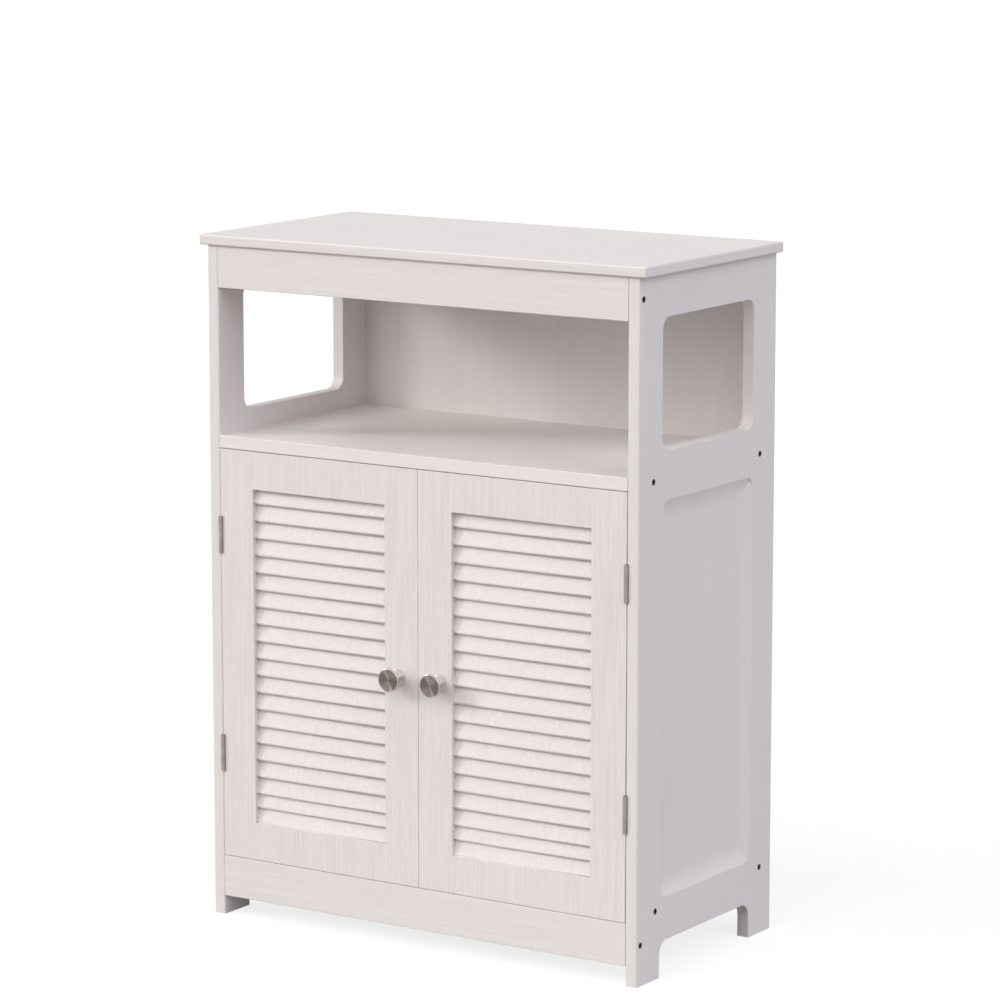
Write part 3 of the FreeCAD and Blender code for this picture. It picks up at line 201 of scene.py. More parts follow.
def carved(bm, cutter):
    """A mesh with another one cut out of it."""
    pieces = []
    for name, shape in (("carved", bm), ("cutter", cutter)):
        mesh = bpy.data.meshes.new(name)
        shape.to_mesh(mesh)
        shape.free()
        piece = bpy.data.objects.new(name, mesh)
        bpy.context.scene.collection.objects.link(piece)
        pieces.append(piece)
    carving = pieces[0].modifiers.new("carving", "BOOLEAN")
    carving.operation = "DIFFERENCE"
    carving.solver = "EXACT"
    carving.use_self = True
    carving.object = pieces[1]
    bpy.context.view_layer.update()
    graph = bpy.context.evaluated_depsgraph_get()
    result = bmesh.new()
    result.from_object(pieces[0], graph)
    for piece in pieces:
        mesh = piece.data
        bpy.data.objects.remove(piece)
        bpy.data.meshes.remove(mesh)
    return result


# ---------------------------------------------------------------- node helpers

# The places of a Mix node's two colours and of its mixed colour among its sockets.
MIX_LOW, MIX_HIGH, MIX_RESULT = 6, 7, 2

# A noise's values crowd about a half: these two bound nearly all of them.
NOISE_LOW, NOISE_HIGH = 0.3, 0.7


def plug(tree, value, socket):
    """Links a socket, or writes a plain value."""
    if isinstance(value, bpy.types.NodeSocket):
        tree.links.new(value, socket)
    else:
        socket.default_value = value


def calculate(tree, operation, first, second=0.0, clamp=False):
    """A math node on two sockets or numbers."""
    node = tree.nodes.new("ShaderNodeMath")
    node.operation = operation
    node.use_clamp = clamp
    plug(tree, first, node.inputs[0])
    plug(tree, second, node.inputs[1])
    return node.outputs[0]


def calculate_vector(tree, operation, first, second=(0.0, 0.0, 0.0)):
    """A vector math node on two sockets or vectors."""
    node = tree.nodes.new("ShaderNodeVectorMath")
    node.operation = operation
    plug(tree, first, node.inputs[0])
    plug(tree, second, node.inputs[1])
    return node.outputs[0]


def split(tree, vector):
    """A vector's three numbers."""
    node = tree.nodes.new("ShaderNodeSeparateXYZ")
    plug(tree, vector, node.inputs[0])
    return node.outputs


def join(tree, x, y, z):
    """A vector of three numbers."""
    node = tree.nodes.new("ShaderNodeCombineXYZ")
    for socket, value in zip(node.inputs, (x, y, z)):
        plug(tree, value, socket)
    return node.outputs[0]


def stretched(tree, vector, repeats):
    """Coordinates scaled along each axis, so that a pattern on them is packed or drawn out."""
    return calculate_vector(tree, "MULTIPLY", vector, repeats)


def noise(tree, vector, scale, detail, roughness=0.5):
    """A noise texture's value over a vector."""
    node = tree.nodes.new("ShaderNodeTexNoise")
    plug(tree, vector, node.inputs["Vector"])
    plug(tree, scale, node.inputs["Scale"])
    node.inputs["Detail"].default_value = detail
    node.inputs["Roughness"].default_value = roughness
    return node.outputs["Fac"]


def remap(tree, value, low, high, new_low, new_high):
    """A value taken from one range to another and clamped there."""
    node = tree.nodes.new("ShaderNodeMapRange")
    for socket, item in zip(node.inputs, (value, low, high, new_low, new_high)):
        plug(tree, item, socket)
    return node.outputs["Result"]


def blend_colours(tree, factor, low, high):
    """A colour between two others."""
    node = tree.nodes.new("ShaderNodeMix")
    node.data_type = "RGBA"
    plug(tree, factor, node.inputs["Factor"])
    plug(tree, low, node.inputs[MIX_LOW])
    plug(tree, high, node.inputs[MIX_HIGH])
    return node.outputs[MIX_RESULT]


def relief(tree, height, depth):
    """A normal from a height between 0 and 1 that stands for a real depth."""
    node = tree.nodes.new("ShaderNodeBump")
    node.inputs["Strength"].default_value = 1.0
    node.inputs["Distance"].default_value = depth
    plug(tree, height, node.inputs["Height"])
    return node.outputs[0]


def turned(tree, vector, angles, offset=(0.0, 0.0, 0.0)):
    """Coordinates turned so that a grain runs along another axis, and moved over its sheet."""
    node = tree.nodes.new("ShaderNodeMapping")
    node.inputs["Rotation"].default_value = angles
    node.inputs["Location"].default_value = offset
    plug(tree, vector, node.inputs["Vector"])
    return node.outputs[0]


# ---------------------------------------------------------------- effects that materials share

# How often each pattern in the grain repeats a metre, across it twice and then along it, and how
# far the grain sways to the side.
GRAIN_DRIFT = (6, 6, 2)
GRAIN_STREAKS = (150, 150, 4)
GRAIN_LINES = (480, 480, 8)
GRAIN_PORES = (800, 800, 40)
GRAIN_SWAY = (0.012, 0.012, 0)
PORE_EDGE, PORE_HEART, PORE_DEPTH = 0.60, 0.72, 0.35

# A surface's tooth is this much finer than its clouds, and its noise is cut off nearer to a half.
TOOTH_FINENESS = 40.0
TOOTH_LOW, TOOTH_HIGH = 0.35, 0.65


def new_group(name, inputs, outputs):
    """A shader node group with named sockets, its input node and its output node."""
    group = bpy.data.node_groups.new(name, "ShaderNodeTree")
    for label, kind in inputs:
        group.interface.new_socket(name=label, in_out="INPUT", socket_type=kind)
    for label, kind in outputs:
        group.interface.new_socket(name=label, in_out="OUTPUT", socket_type=kind)
    given = group.nodes.new("NodeGroupInput").outputs
    result = group.nodes.new("NodeGroupOutput").inputs
    return group, given, result


def use_group(tree, group, values):
    """A group's outputs in a material, with its own values."""
    node = tree.nodes.new("ShaderNodeGroup")
    node.node_tree = group
    for label, value in values.items():
        plug(tree, value, node.inputs[label])
    return node.outputs


def make_grain_group():
    """Embossed wood grain that runs along the vector's Z: streaks, fine lines and short pores."""
    group, given, result = new_group(
        "embossed_grain",
        [
            ("Vector", "NodeSocketVector"),
            ("Line Scale", "NodeSocketFloat"),
            ("Fine Share", "NodeSocketFloat"),
        ],
        [("Tone", "NodeSocketFloat"), ("Height", "NodeSocketFloat")])
    vector = given["Vector"]
    scale = given["Line Scale"]
    fine_share = given["Fine Share"]
    drift = noise(group, stretched(group, vector, GRAIN_DRIFT), 1.0, detail=2)
    sway = calculate_vector(group, "MULTIPLY", join(group, drift, drift, 0.0), GRAIN_SWAY)
    bent = calculate_vector(group, "ADD", vector, sway)
    streaks = noise(group, stretched(group, bent, GRAIN_STREAKS), scale, detail=3, roughness=0.6)
    lines = noise(group, stretched(group, bent, GRAIN_LINES), scale, detail=2, roughness=0.6)
    pores = noise(group, stretched(group, bent, GRAIN_PORES), scale, detail=1)
    broad_share = calculate(group, "SUBTRACT", 1.0, fine_share)
    broad = remap(group, streaks, NOISE_LOW, NOISE_HIGH, 0.0, broad_share)
    fine = remap(group, lines, NOISE_LOW, NOISE_HIGH, 0.0, fine_share)
    pits = remap(group, pores, PORE_EDGE, PORE_HEART, 0.0, PORE_DEPTH)
    tone = calculate(group, "SUBTRACT", calculate(group, "ADD", broad, fine), pits, clamp=True)
    plug(group, tone, result["Tone"])
    plug(group, calculate(group, "SUBTRACT", tone, pits), result["Height"])
    return group


def make_mottle_group():
    """Slow clouds over a surface, and a fine tooth in it."""
    group, given, result = new_group(
        "mottle",
        [("Vector", "NodeSocketVector"), ("Scale", "NodeSocketFloat")],
        [("Cloud", "NodeSocketFloat"), ("Tooth", "NodeSocketFloat")])
    clouds = noise(group, given["Vector"], given["Scale"], detail=3)
    fine_scale = calculate(group, "MULTIPLY", given["Scale"], TOOTH_FINENESS)
    tooth = noise(group, given["Vector"], fine_scale, detail=2)
    plug(group, remap(group, clouds, NOISE_LOW, NOISE_HIGH, 0.0, 1.0), result["Cloud"])
    plug(group, remap(group, tooth, TOOTH_LOW, TOOTH_HIGH, 0.0, 1.0), result["Tooth"])
    return group


GRAIN = make_grain_group()
MOTTLE = make_mottle_group()


def grain_over(tree, vector, look):
    """The embossed grain's tone and height over a vector, as fine and even as a look says."""
    return use_group(
        tree, GRAIN, {"Vector": vector, "Line Scale": look["scale"], "Fine Share": look["fine"]})


def mottle_over(tree, vector, scale):
    """The mottle's clouds and tooth over a vector."""
    return use_group(tree, MOTTLE, {"Vector": vector, "Scale": scale})


# ---------------------------------------------------------------- colours and textures

GRAIN_UPRIGHT = (0.0, 0.0, 0.0)
GRAIN_ACROSS = (0.0, math.radians(90), 0.0)

# White film: its colour and grain on each kind of board, and where each is cut from the sheet.
PAINT = (0.802, 0.760, 0.745)
# Painted shade: the slats get a darker copy of PAINT, which cancels the extra light their tilted
# faces catch.
SLAT_PAINT_SHADED = (0.757, 0.720, 0.706)
# Painted light: the shelves and bottom board get a lighter copy of PAINT, standing in for more
# light in the open bay and the cupboard.
SHELF_PAINT_LIT = (0.85, 0.805, 0.785)
DOOR_GRAIN = {"contrast": 0.15, "scale": 1.35, "fine": 0.8, "depth": 0.12 * MM}
SLAT_GRAIN = {"contrast": 0.14, "scale": 1.2, "fine": 0.7, "depth": 0.05 * MM}
BOARD_GRAIN = {"contrast": 0.08, "scale": 1.0, "fine": 0.4, "depth": 0.12 * MM}
SIDE_GRAIN = {"contrast": 0.03, "scale": 1.0, "fine": 0.4, "depth": 0.06 * MM}
DOOR_CUT = (0.37, 0.11, 0.0)
TOP_CUT = (0.0, 0.19, 0.43)
SHELF_CUT = (0.0, 0.31, 0.17)
SLAT_CUT_STEP = 0.173
VALLEY_ROUGHNESS, RIDGE_ROUGHNESS = 0.56, 0.42
FILM_CLOUDS = 6.0
FILM_DIM, FILM_BRIGHT = 0.99, 1.005

# Hardboard: a white face with a faint grain, and raw fibre drawn out a little along the sheet.
INNER_WHITE = (0.78, 0.745, 0.735, 1.0)
INNER_WHITE_IN_GRAIN = (0.73, 0.695, 0.685, 1.0)
FIBRE_DARK = (0.23, 0.140, 0.080, 1.0)
FIBRE_LIGHT = (0.31, 0.200, 0.118, 1.0)
FIBRE_FLECK = (0.42, 0.29, 0.18, 1.0)
FIBRE_DRAWN = (1, 1, 2.2)
FIBRE_CLOUDS = 14.0
FIBRE_TOOTH = 0.03 * MM
FLECK_SHARE = 0.35
WHITE_FACE_ROUGHNESS, FIBRE_ROUGHNESS = 0.5, 0.85
WHITE_FACE_DEPTH = 0.5 * MM

BEECH_DARK = (0.42, 0.26, 0.14, 1.0)
BEECH_LIGHT = (0.60, 0.42, 0.25, 1.0)
BEECH_GRAIN = {"scale": 2.0, "fine": 0.4, "depth": 0.1 * MM}
BEECH_FLECK_ROUGHNESS, BEECH_ROUGHNESS = 0.8, 0.65

# How much smoother and rougher brushing lines are than their metal, how deep they are, and how
# much rougher the tooth of a moulded surface is.
BRUSHING_CLOUDS = 60.0
BRUSHING_SMOOTHER, BRUSHING_ROUGHER = 0.05, 0.08
BRUSHING_DEPTH = 0.004 * MM
TOOTH_ROUGHER = 0.1

# Nickel: a knob's face is painted dark, with lighter lathe lines, and from the rim back it is
# painted
# bright. These are painted reflections: the dark face stands for dark surroundings mirrored in it,
# and the bright rim, neck and foot for the white door mirrored in them. A hinge is brushed, between
# the two. FACE_BAND is how far behind the rim's front the face reaches.
NICKEL_FACE_PAINTED_DARK = (0.142, 0.117, 0.107, 1.0)
NICKEL_DARK_LINES = (0.235, 0.203, 0.188, 1.0)
NICKEL_PAINTED_BRIGHT = (0.50, 0.452, 0.43, 1.0)
HINGE_DARK = (0.27, 0.243, 0.228, 1.0)
HINGE_LIGHT = (0.36, 0.328, 0.310, 1.0)
HINGE_BRUSHING = (60, 60, 1400)
LATHE_LINES = (9000, 9000, 0)
LATHE_CLOUDS = 120.0
LATHE_CLOUD_SHARE = 0.5
LATHE_LINE_SHARE = 0.6
LATHE_LOW_ROUGHNESS, LATHE_HIGH_ROUGHNESS = 0.33, 0.43
LATHE_DEPTH = 0.003 * MM
RIM_BLEND = 0.6 * MM
FACE_BLEND = 0.5 * MM
FACE_BAND = 1.0 * MM
LATHE_LINE_TURN = 0.25

# Zinc, black oxide, plastic and ferrite: two near tones each.
ZINC_DARK = (0.50, 0.51, 0.53, 1.0)
ZINC_LIGHT = (0.62, 0.63, 0.65, 1.0)
ZINC_BRUSHING = (60, 60, 900)
CASTING_DARK = (0.42, 0.43, 0.44, 1.0)
CASTING_LIGHT = (0.52, 0.53, 0.54, 1.0)
OXIDE_BLACK = (0.010, 0.010, 0.011, 1.0)
OXIDE_RUBBED = (0.09, 0.09, 0.09, 1.0)
OXIDE_CLOUDS = 150.0
OXIDE_RUB_START, OXIDE_RUB_MOST = 0.85, 0.5
OXIDE_LOW_ROUGHNESS, OXIDE_HIGH_ROUGHNESS = 0.38, 0.55
OXIDE_METALLIC = 0.6
PLASTIC_DIM = (0.74, 0.74, 0.72, 1.0)
PLASTIC_WHITE = (0.80, 0.80, 0.78, 1.0)
FERRITE_DARK = (0.030, 0.030, 0.033, 1.0)
FERRITE_LIGHT = (0.055, 0.055, 0.060, 1.0)


# ---------------------------------------------------------------- materials

def new_material(name):
    """A material, its node tree, its shader's sockets and its object coordinates."""
    material = bpy.data.materials.new(name)
    material.use_nodes = True
    tree = material.node_tree
    coordinates = tree.nodes.new("ShaderNodeTexCoord").outputs["Object"]
    return material, tree, tree.nodes["Principled BSDF"].inputs, coordinates


def tinted(colour, brightness):
    """A colour made lighter or darker, with its alpha."""
    return tuple(channel * brightness for channel in colour) + (1.0,)


def film_over(tree, shader, coordinates, along, look, paint):
    """White satin film: embossed grain lines a shade darker and duller, and slow unevenness."""
    grain = grain_over(tree, along, look)
    clouds = mottle_over(tree, coordinates, FILM_CLOUDS)
    half = look["contrast"] / 2
    film = blend_colours(tree, grain["Tone"], tinted(paint, 1 - half), tinted(paint, 1 + half))
    shaded = calculate_vector(tree, "SCALE", film)
    brightness = remap(tree, clouds["Cloud"], 0.0, 1.0, FILM_DIM, FILM_BRIGHT)
    plug(tree, brightness, shaded.node.inputs["Scale"])
    plug(tree, shaded, shader["Base Color"])
    roughness = remap(tree, grain["Tone"], 0.0, 1.0, VALLEY_ROUGHNESS, RIDGE_ROUGHNESS)
    plug(tree, roughness, shader["Roughness"])
    plug(tree, relief(tree, grain["Height"], look["depth"]), shader["Normal"])


def painted_film(name, look, direction, offset=(0.0, 0.0, 0.0), paint=PAINT):
    """White film over a board, embossed with wood grain."""
    material, tree, shader, coordinates = new_material(name)
    film_over(tree, shader, coordinates, turned(tree, coordinates, direction, offset), look, paint)
    return material


def slat_film(name, lowest, pitch):
    """White film on the slats, each cut from another place of the sheet."""
    material, tree, shader, coordinates = new_material(name)
    place = split(tree, coordinates)
    steps = calculate(tree, "DIVIDE", calculate(tree, "SUBTRACT", place["Z"], lowest), pitch)
    shift = calculate(tree, "MULTIPLY", calculate(tree, "FLOOR", steps), SLAT_CUT_STEP)
    moved = join(tree, calculate(tree, "ADD", place["X"], shift), place["Y"], place["Z"])
    film_over(tree, shader, coordinates, moved, SLAT_GRAIN, SLAT_PAINT_SHADED)
    return material


def hardboard(name, rear):
    """Thin hardboard: white in front of a plane across Y, raw brown fibre behind it."""
    material, tree, shader, coordinates = new_material(name)
    raw = calculate(tree, "GREATER_THAN", split(tree, coordinates)["Y"], rear)
    fibre = mottle_over(tree, stretched(tree, coordinates, FIBRE_DRAWN), FIBRE_CLOUDS)
    grain = grain_over(tree, coordinates, BOARD_GRAIN)
    brown = blend_colours(tree, fibre["Cloud"], FIBRE_DARK, FIBRE_LIGHT)
    flecks = calculate(tree, "MULTIPLY", fibre["Tooth"], FLECK_SHARE)
    brown = blend_colours(tree, flecks, brown, FIBRE_FLECK)
    white = blend_colours(tree, grain["Tone"], INNER_WHITE_IN_GRAIN, INNER_WHITE)
    plug(tree, blend_colours(tree, raw, white, brown), shader["Base Color"])
    roughness = remap(tree, raw, 0.0, 1.0, WHITE_FACE_ROUGHNESS, FIBRE_ROUGHNESS)
    plug(tree, roughness, shader["Roughness"])
    plug(tree, relief(tree, fibre["Tooth"], FIBRE_TOOTH), shader["Normal"])
    return material


def bare_beech(name):
    """Bare turned beech with short dark flecks along its length."""
    material, tree, shader, coordinates = new_material(name)
    along = turned(tree, coordinates, GRAIN_ACROSS)
    grain = grain_over(tree, along, BEECH_GRAIN)
    plug(tree, blend_colours(tree, grain["Tone"], BEECH_DARK, BEECH_LIGHT), shader["Base Color"])
    roughness = remap(tree, grain["Tone"], 0.0, 1.0, BEECH_FLECK_ROUGHNESS, BEECH_ROUGHNESS)
    plug(tree, roughness, shader["Roughness"])
    plug(tree, relief(tree, grain["Height"], BEECH_GRAIN["depth"]), shader["Normal"])
    return material


def moulded(name, low, high, roughness, scale, depth, metallic=0.0):
    """A cast or moulded surface: two near tones in slow clouds, with a fine tooth."""
    material, tree, shader, coordinates = new_material(name)
    mottle = mottle_over(tree, coordinates, scale)
    plug(tree, blend_colours(tree, mottle["Cloud"], low, high), shader["Base Color"])
    dulled = remap(tree, mottle["Tooth"], 0.0, 1.0, roughness, roughness + TOOTH_ROUGHER)
    plug(tree, dulled, shader["Roughness"])
    plug(tree, relief(tree, mottle["Tooth"], depth), shader["Normal"])
    shader["Metallic"].default_value = metallic
    return material


def brushed_metal(name, low, high, roughness, stretch):
    """Metal with fine brushing lines: stretch packs them across and draws them out along."""
    material, tree, shader, coordinates = new_material(name)
    lines = noise(tree, stretched(tree, coordinates, stretch), 1.0, detail=2, roughness=0.6)
    mottle = mottle_over(tree, coordinates, BRUSHING_CLOUDS)
    plug(tree, blend_colours(tree, mottle["Cloud"], low, high), shader["Base Color"])
    smoothest = roughness - BRUSHING_SMOOTHER
    roughest = roughness + BRUSHING_ROUGHER
    dulled = remap(tree, lines, NOISE_LOW, NOISE_HIGH, smoothest, roughest)
    plug(tree, dulled, shader["Roughness"])
    plug(tree, relief(tree, lines, BRUSHING_DEPTH), shader["Normal"])
    shader["Metallic"].default_value = 1.0
    return material


def lathe_turned_nickel(name, axis, face_radius, face_depth):
    """Brushed nickel turned on a lathe about an axis along Y, alike on both sides of X = 0.

    Its colour holds painted reflections: the dished face is painted dark, and the rim, neck and
    foot are painted bright, as if they mirrored the white door.
    """
    material, tree, shader, coordinates = new_material(name)
    either_side = calculate_vector(tree, "ABSOLUTE", coordinates)
    place = split(tree, calculate_vector(tree, "SUBTRACT", either_side, (axis.x, 0.0, axis.z)))
    from_axis = calculate_vector(tree, "LENGTH", join(tree, place["X"], 0.0, place["Z"]))
    radius = from_axis.node.outputs["Value"]
    depth = split(tree, coordinates)["Y"]
    rings = join(tree, radius, depth, 0.0)
    lines = noise(tree, stretched(tree, rings, LATHE_LINES), 1.0, detail=2, roughness=0.7)
    mottle = mottle_over(tree, coordinates, LATHE_CLOUDS)
    # Painted reflection: the colour turns bright past the rim and behind the face, and stays dark
    # on the face.
    past_rim = remap(tree, radius, face_radius, face_radius + RIM_BLEND, 0.0, 1.0)
    behind_face = remap(tree, depth, face_depth, face_depth + FACE_BLEND, 0.0, 1.0)
    rubbed_and_painted_bright = calculate(tree, "MAXIMUM", past_rim, behind_face)
    uneven = calculate(tree, "MULTIPLY", mottle["Cloud"], LATHE_CLOUD_SHARE)
    streaked = calculate(tree, "MULTIPLY", lines, LATHE_LINE_SHARE)
    dark = blend_colours(tree, uneven, NICKEL_FACE_PAINTED_DARK, NICKEL_DARK_LINES)
    dark = blend_colours(tree, streaked, dark, NICKEL_DARK_LINES)
    plug(tree, blend_colours(tree, rubbed_and_painted_bright, dark, NICKEL_PAINTED_BRIGHT), shader["Base Color"])
    dulled = remap(
        tree, lines, NOISE_LOW, NOISE_HIGH, LATHE_LOW_ROUGHNESS, LATHE_HIGH_ROUGHNESS)
    plug(tree, dulled, shader["Roughness"])
    plug(tree, relief(tree, lines, LATHE_DEPTH), shader["Normal"])
    shader["Metallic"].default_value = 1.0
    shader["Anisotropic"].default_value = 1.0
    shader["Anisotropic Rotation"].default_value = LATHE_LINE_TURN
    tangent = tree.nodes.new("ShaderNodeTangent")
    tangent.direction_type = "RADIAL"
    tangent.axis = "Y"
    plug(tree, tangent.outputs[0], shader["Tangent"])
    return material


def black_oxide(name):
    """Black oxide on steel, rubbed a little in places."""
    material, tree, shader, coordinates = new_material(name)
    mottle = mottle_over(tree, coordinates, OXIDE_CLOUDS)
    rubbed_and_painted_bright = remap(tree, mottle["Tooth"], OXIDE_RUB_START, 1.0, 0.0, OXIDE_RUB_MOST)
    plug(tree, blend_colours(tree, rubbed_and_painted_bright, OXIDE_BLACK, OXIDE_RUBBED), shader["Base Color"])
    dulled = remap(tree, mottle["Cloud"], 0.0, 1.0, OXIDE_LOW_ROUGHNESS, OXIDE_HIGH_ROUGHNESS)
    plug(tree, dulled, shader["Roughness"])
    shader["Metallic"].default_value = OXIDE_METALLIC
    return material


side_film = painted_film("white_film_side", SIDE_GRAIN, GRAIN_UPRIGHT)
door_film = painted_film("white_film_door", DOOR_GRAIN, GRAIN_UPRIGHT, DOOR_CUT)
louvre_film = slat_film("white_film_slats", RUN_START, SLAT_PITCH)
level_film = painted_film("white_film_level", BOARD_GRAIN, GRAIN_ACROSS)
top_film = painted_film("white_film_top", BOARD_GRAIN, GRAIN_ACROSS, TOP_CUT)
shelf_film_lit = painted_film("white_film_shelf", BOARD_GRAIN, GRAIN_ACROSS, SHELF_CUT, SHELF_PAINT_LIT)
back_board = hardboard("back_hardboard", BACK_HIGH.y - WHITE_FACE_DEPTH)
zinc = brushed_metal("zinc_plate", ZINC_DARK, ZINC_LIGHT, roughness=0.30, stretch=ZINC_BRUSHING)
zinc_casting = moulded(
    "zinc_casting", CASTING_DARK, CASTING_LIGHT,
    roughness=0.42, scale=90.0, depth=0.02 * MM, metallic=1.0)
hinge_nickel = brushed_metal(
    "hinge_nickel", HINGE_DARK, HINGE_LIGHT, roughness=0.42, stretch=HINGE_BRUSHING)
knob_nickel = lathe_turned_nickel("knob_nickel", KNOB_AXIS, KNOB_FACE, KNOB_LOW.y + FACE_BAND)
black_screw = black_oxide("black_oxide")
catch_plastic = moulded(
    "catch_plastic", PLASTIC_DIM, PLASTIC_WHITE, roughness=0.40, scale=40.0, depth=0.01 * MM)
ferrite = moulded(
    "ferrite", FERRITE_DARK, FERRITE_LIGHT, roughness=0.55, scale=90.0, depth=0.02 * MM)
beech = bare_beech("bare_beech")

FINISHES = {
    top_film: ["top_board"],
    side_film: ["side_panel_right", "side_panel_left"],
    level_film: ["top_front_rail", "kick_board"],
    shelf_film_lit: ["middle_shelf", "bottom_board", "adjustable_shelf"],
    back_board: ["back_panel"],
    zinc: [
        "back_nails", "shelf_pins", "cam_bolts", "hinge_frame_screws", "catch_screws",
        "hinge_door_screws_right", "hinge_door_screws_left", "knob_screw_right", "knob_screw_left",
        "strike_plate_right", "strike_plate_left", "strike_screw_right", "strike_screw_left",
    ],
    zinc_casting: ["cam_nuts"],
    black_screw: ["side_screws"],
    hinge_nickel: [
        "hinge_frame_leaves", "hinge_pins", "hinge_door_leaves_right", "hinge_door_leaves_left",
    ],
    knob_nickel: ["knob_right", "knob_left"],
    catch_plastic: ["catch_housings"],
    ferrite: ["catch_magnets"],
    beech: ["board_dowels", "top_dowels", "door_dowels_right", "door_dowels_left"],
    door_film: [
        f"{node}_{side}" for side in ("right", "left")
        for node in ("hinge_stile", "meeting_stile", "door_top_rail", "door_bottom_rail")
    ],
    louvre_film: ["louvre_slats_right", "louvre_slats_left"],
}

for finish, finished_nodes in FINISHES.items():
    for node in finished_nodes:
        slots = NODES[node].data.materials
        slots.clear()
        slots.append(finish)


# ---------------------------------------------------------------- door frames

def make_door_plate():
    """The seamless frame of stiles and rails: a plate with the louvre's opening, its rims eased.

    The film that wraps the plate's upright edges makes it a little wider than its boards.
    """
    wrap = Vector((FILM_WRAP, 0, 0))
    bm = box_mesh(DOOR_LOW - wrap, DOOR_HIGH + wrap)
    for axis, normal in ((0, Vector((1, 0, 0))), (2, Vector((0, 0, 1)))):
        for place in (LOUVRE_LOW[axis], LOUVRE_HIGH[axis]):
            cut_through(bm, normal * place, normal)
    middle = (LOUVRE_LOW + LOUVRE_HIGH) / 2
    opening = [
        face for face in bm.faces
        if abs(face.normal.y) > SQUARE_ON
        and abs(face.calc_center_median().x - middle.x) < MM
        and abs(face.calc_center_median().z - middle.z) < MM
    ]
    bmesh.ops.delete(bm, geom=opening, context="FACES_ONLY")
    bmesh.ops.bridge_loops(bm, edges=[edge for edge in bm.edges if edge.is_boundary])
    bmesh.ops.recalc_face_normals(bm, faces=bm.faces)
    corners = [
        edge for edge in bm.edges
        if edge.is_convex and edge.calc_face_angle() > SHARP_CORNER
    ]
    round_edges(bm, corners, FRAME_EASE, EASE_STEPS)
    return bm


def hinge_ends():
    """Both hinges' lowest and highest points, from the leaves' corners."""
    corners = NODES["hinge_door_leaves_right"].data.vertices
    heights = sorted({round(corner.co.z, HEIGHT_DECIMALS) for corner in corners})
    middle = (LEAF_LOW.z + LEAF_HIGH.z) / 2
    lower = [height for height in heights if height < middle]
    upper = [height for height in heights if height > middle]
    return (lower[0], lower[-1]), (upper[0], upper[-1])


def make_hinge_rooms():
    """What both hinges take out of a door's edge: their knuckles' rooms and their leaves' seats."""
    bm = bmesh.new()
    for low, high in hinge_ends():
        room = bmesh.ops.create_cone(
            bm, cap_ends=True, segments=KNUCKLE_STEPS, radius1=KNUCKLE_ROOM, radius2=KNUCKLE_ROOM,
            depth=high - low + ROOM_END * 2)["verts"]
        bmesh.ops.translate(bm, vec=(HINGE_AXIS.x, HINGE_AXIS.y, (low + high) / 2), verts=room)
        seat = bmesh.ops.create_cube(bm, size=1.0)["verts"]
        start = Vector((LEAF_LOW.x, HINGE_AXIS.y, low - LEAF_PLAY))
        end = Vector((DOOR_HIGH.x + SEAT_OVERRUN, LEAF_HIGH.y + LEAF_PLAY, high + LEAF_PLAY))
        bmesh.ops.scale(bm, vec=end - start, verts=seat)
        bmesh.ops.translate(bm, vec=(start + end) / 2, verts=seat)
    return bm


def make_door_frame():
    """The door's frame with its hinge seats."""
    bm = carved(make_door_plate(), make_hinge_rooms())
    large = {
        face for face in bm.faces
        if face.calc_area() > LARGE_FACE and max(abs(part) for part in face.normal) > SQUARE_ON
    }
    shade(bm, large)
    return bm


place_on_both_doors(
    make_door_frame(), "door_frame", door_film,
    ["hinge_stile", "meeting_stile", "door_top_rail", "door_bottom_rail"])


# ---------------------------------------------------------------- louvre slats

def add_slat(bm, nose_height, width, let_in=0.0):
    """A tilted slat with a rounded lower nose, standing on its front lower corner.

    A slat that is let into the rail below it is longer by that much, down its own slope.
    """
    length = LOUVRE_HIGH.x - LOUVRE_LOW.x + SLAT_END_LAP * 2
    slat = box_mesh(Vector((0, 0, -let_in)), Vector((length, SLAT_THICKNESS, width)))
    nose = [
        edge for edge in slat.edges
        if all(vert.co.z < MM for vert in edge.verts) and edge.calc_length() > length / 2
    ]
    round_edges(slat, nose, SLAT_NOSE_ROUND, ROUND_STEPS)
    tilt = Matrix.Rotation(-SLAT_TILT, 3, "X")
    bmesh.ops.rotate(slat, verts=slat.verts, matrix=tilt)
    foot = Vector((LOUVRE_LOW.x - SLAT_END_LAP, SLAT_FRONT, nose_height))
    bmesh.ops.translate(slat, vec=foot, verts=slat.verts)
    mesh = bpy.data.meshes.new("slat")
    slat.to_mesh(mesh)
    slat.free()
    bm.from_mesh(mesh)
    bpy.data.meshes.remove(mesh)


def make_slats():
    """All of a door's slats, from the lowest to the short one under the top rail."""
    bm = bmesh.new()
    add_slat(bm, NOSE_HEIGHTS[0], SLAT_WIDTH, LET_IN)
    for nose_height in NOSE_HEIGHTS[1:-1]:
        add_slat(bm, nose_height, SLAT_WIDTH)
    add_slat(bm, NOSE_HEIGHTS[-1], TOP_SLAT_WIDTH)
    shade(bm, {face for face in bm.faces if face.calc_area() > SLAT_FACE})
    return bm


place_on_both_doors(make_slats(), "louvre", louvre_film, ["louvre_slats"])


# ---------------------------------------------------------------- knobs

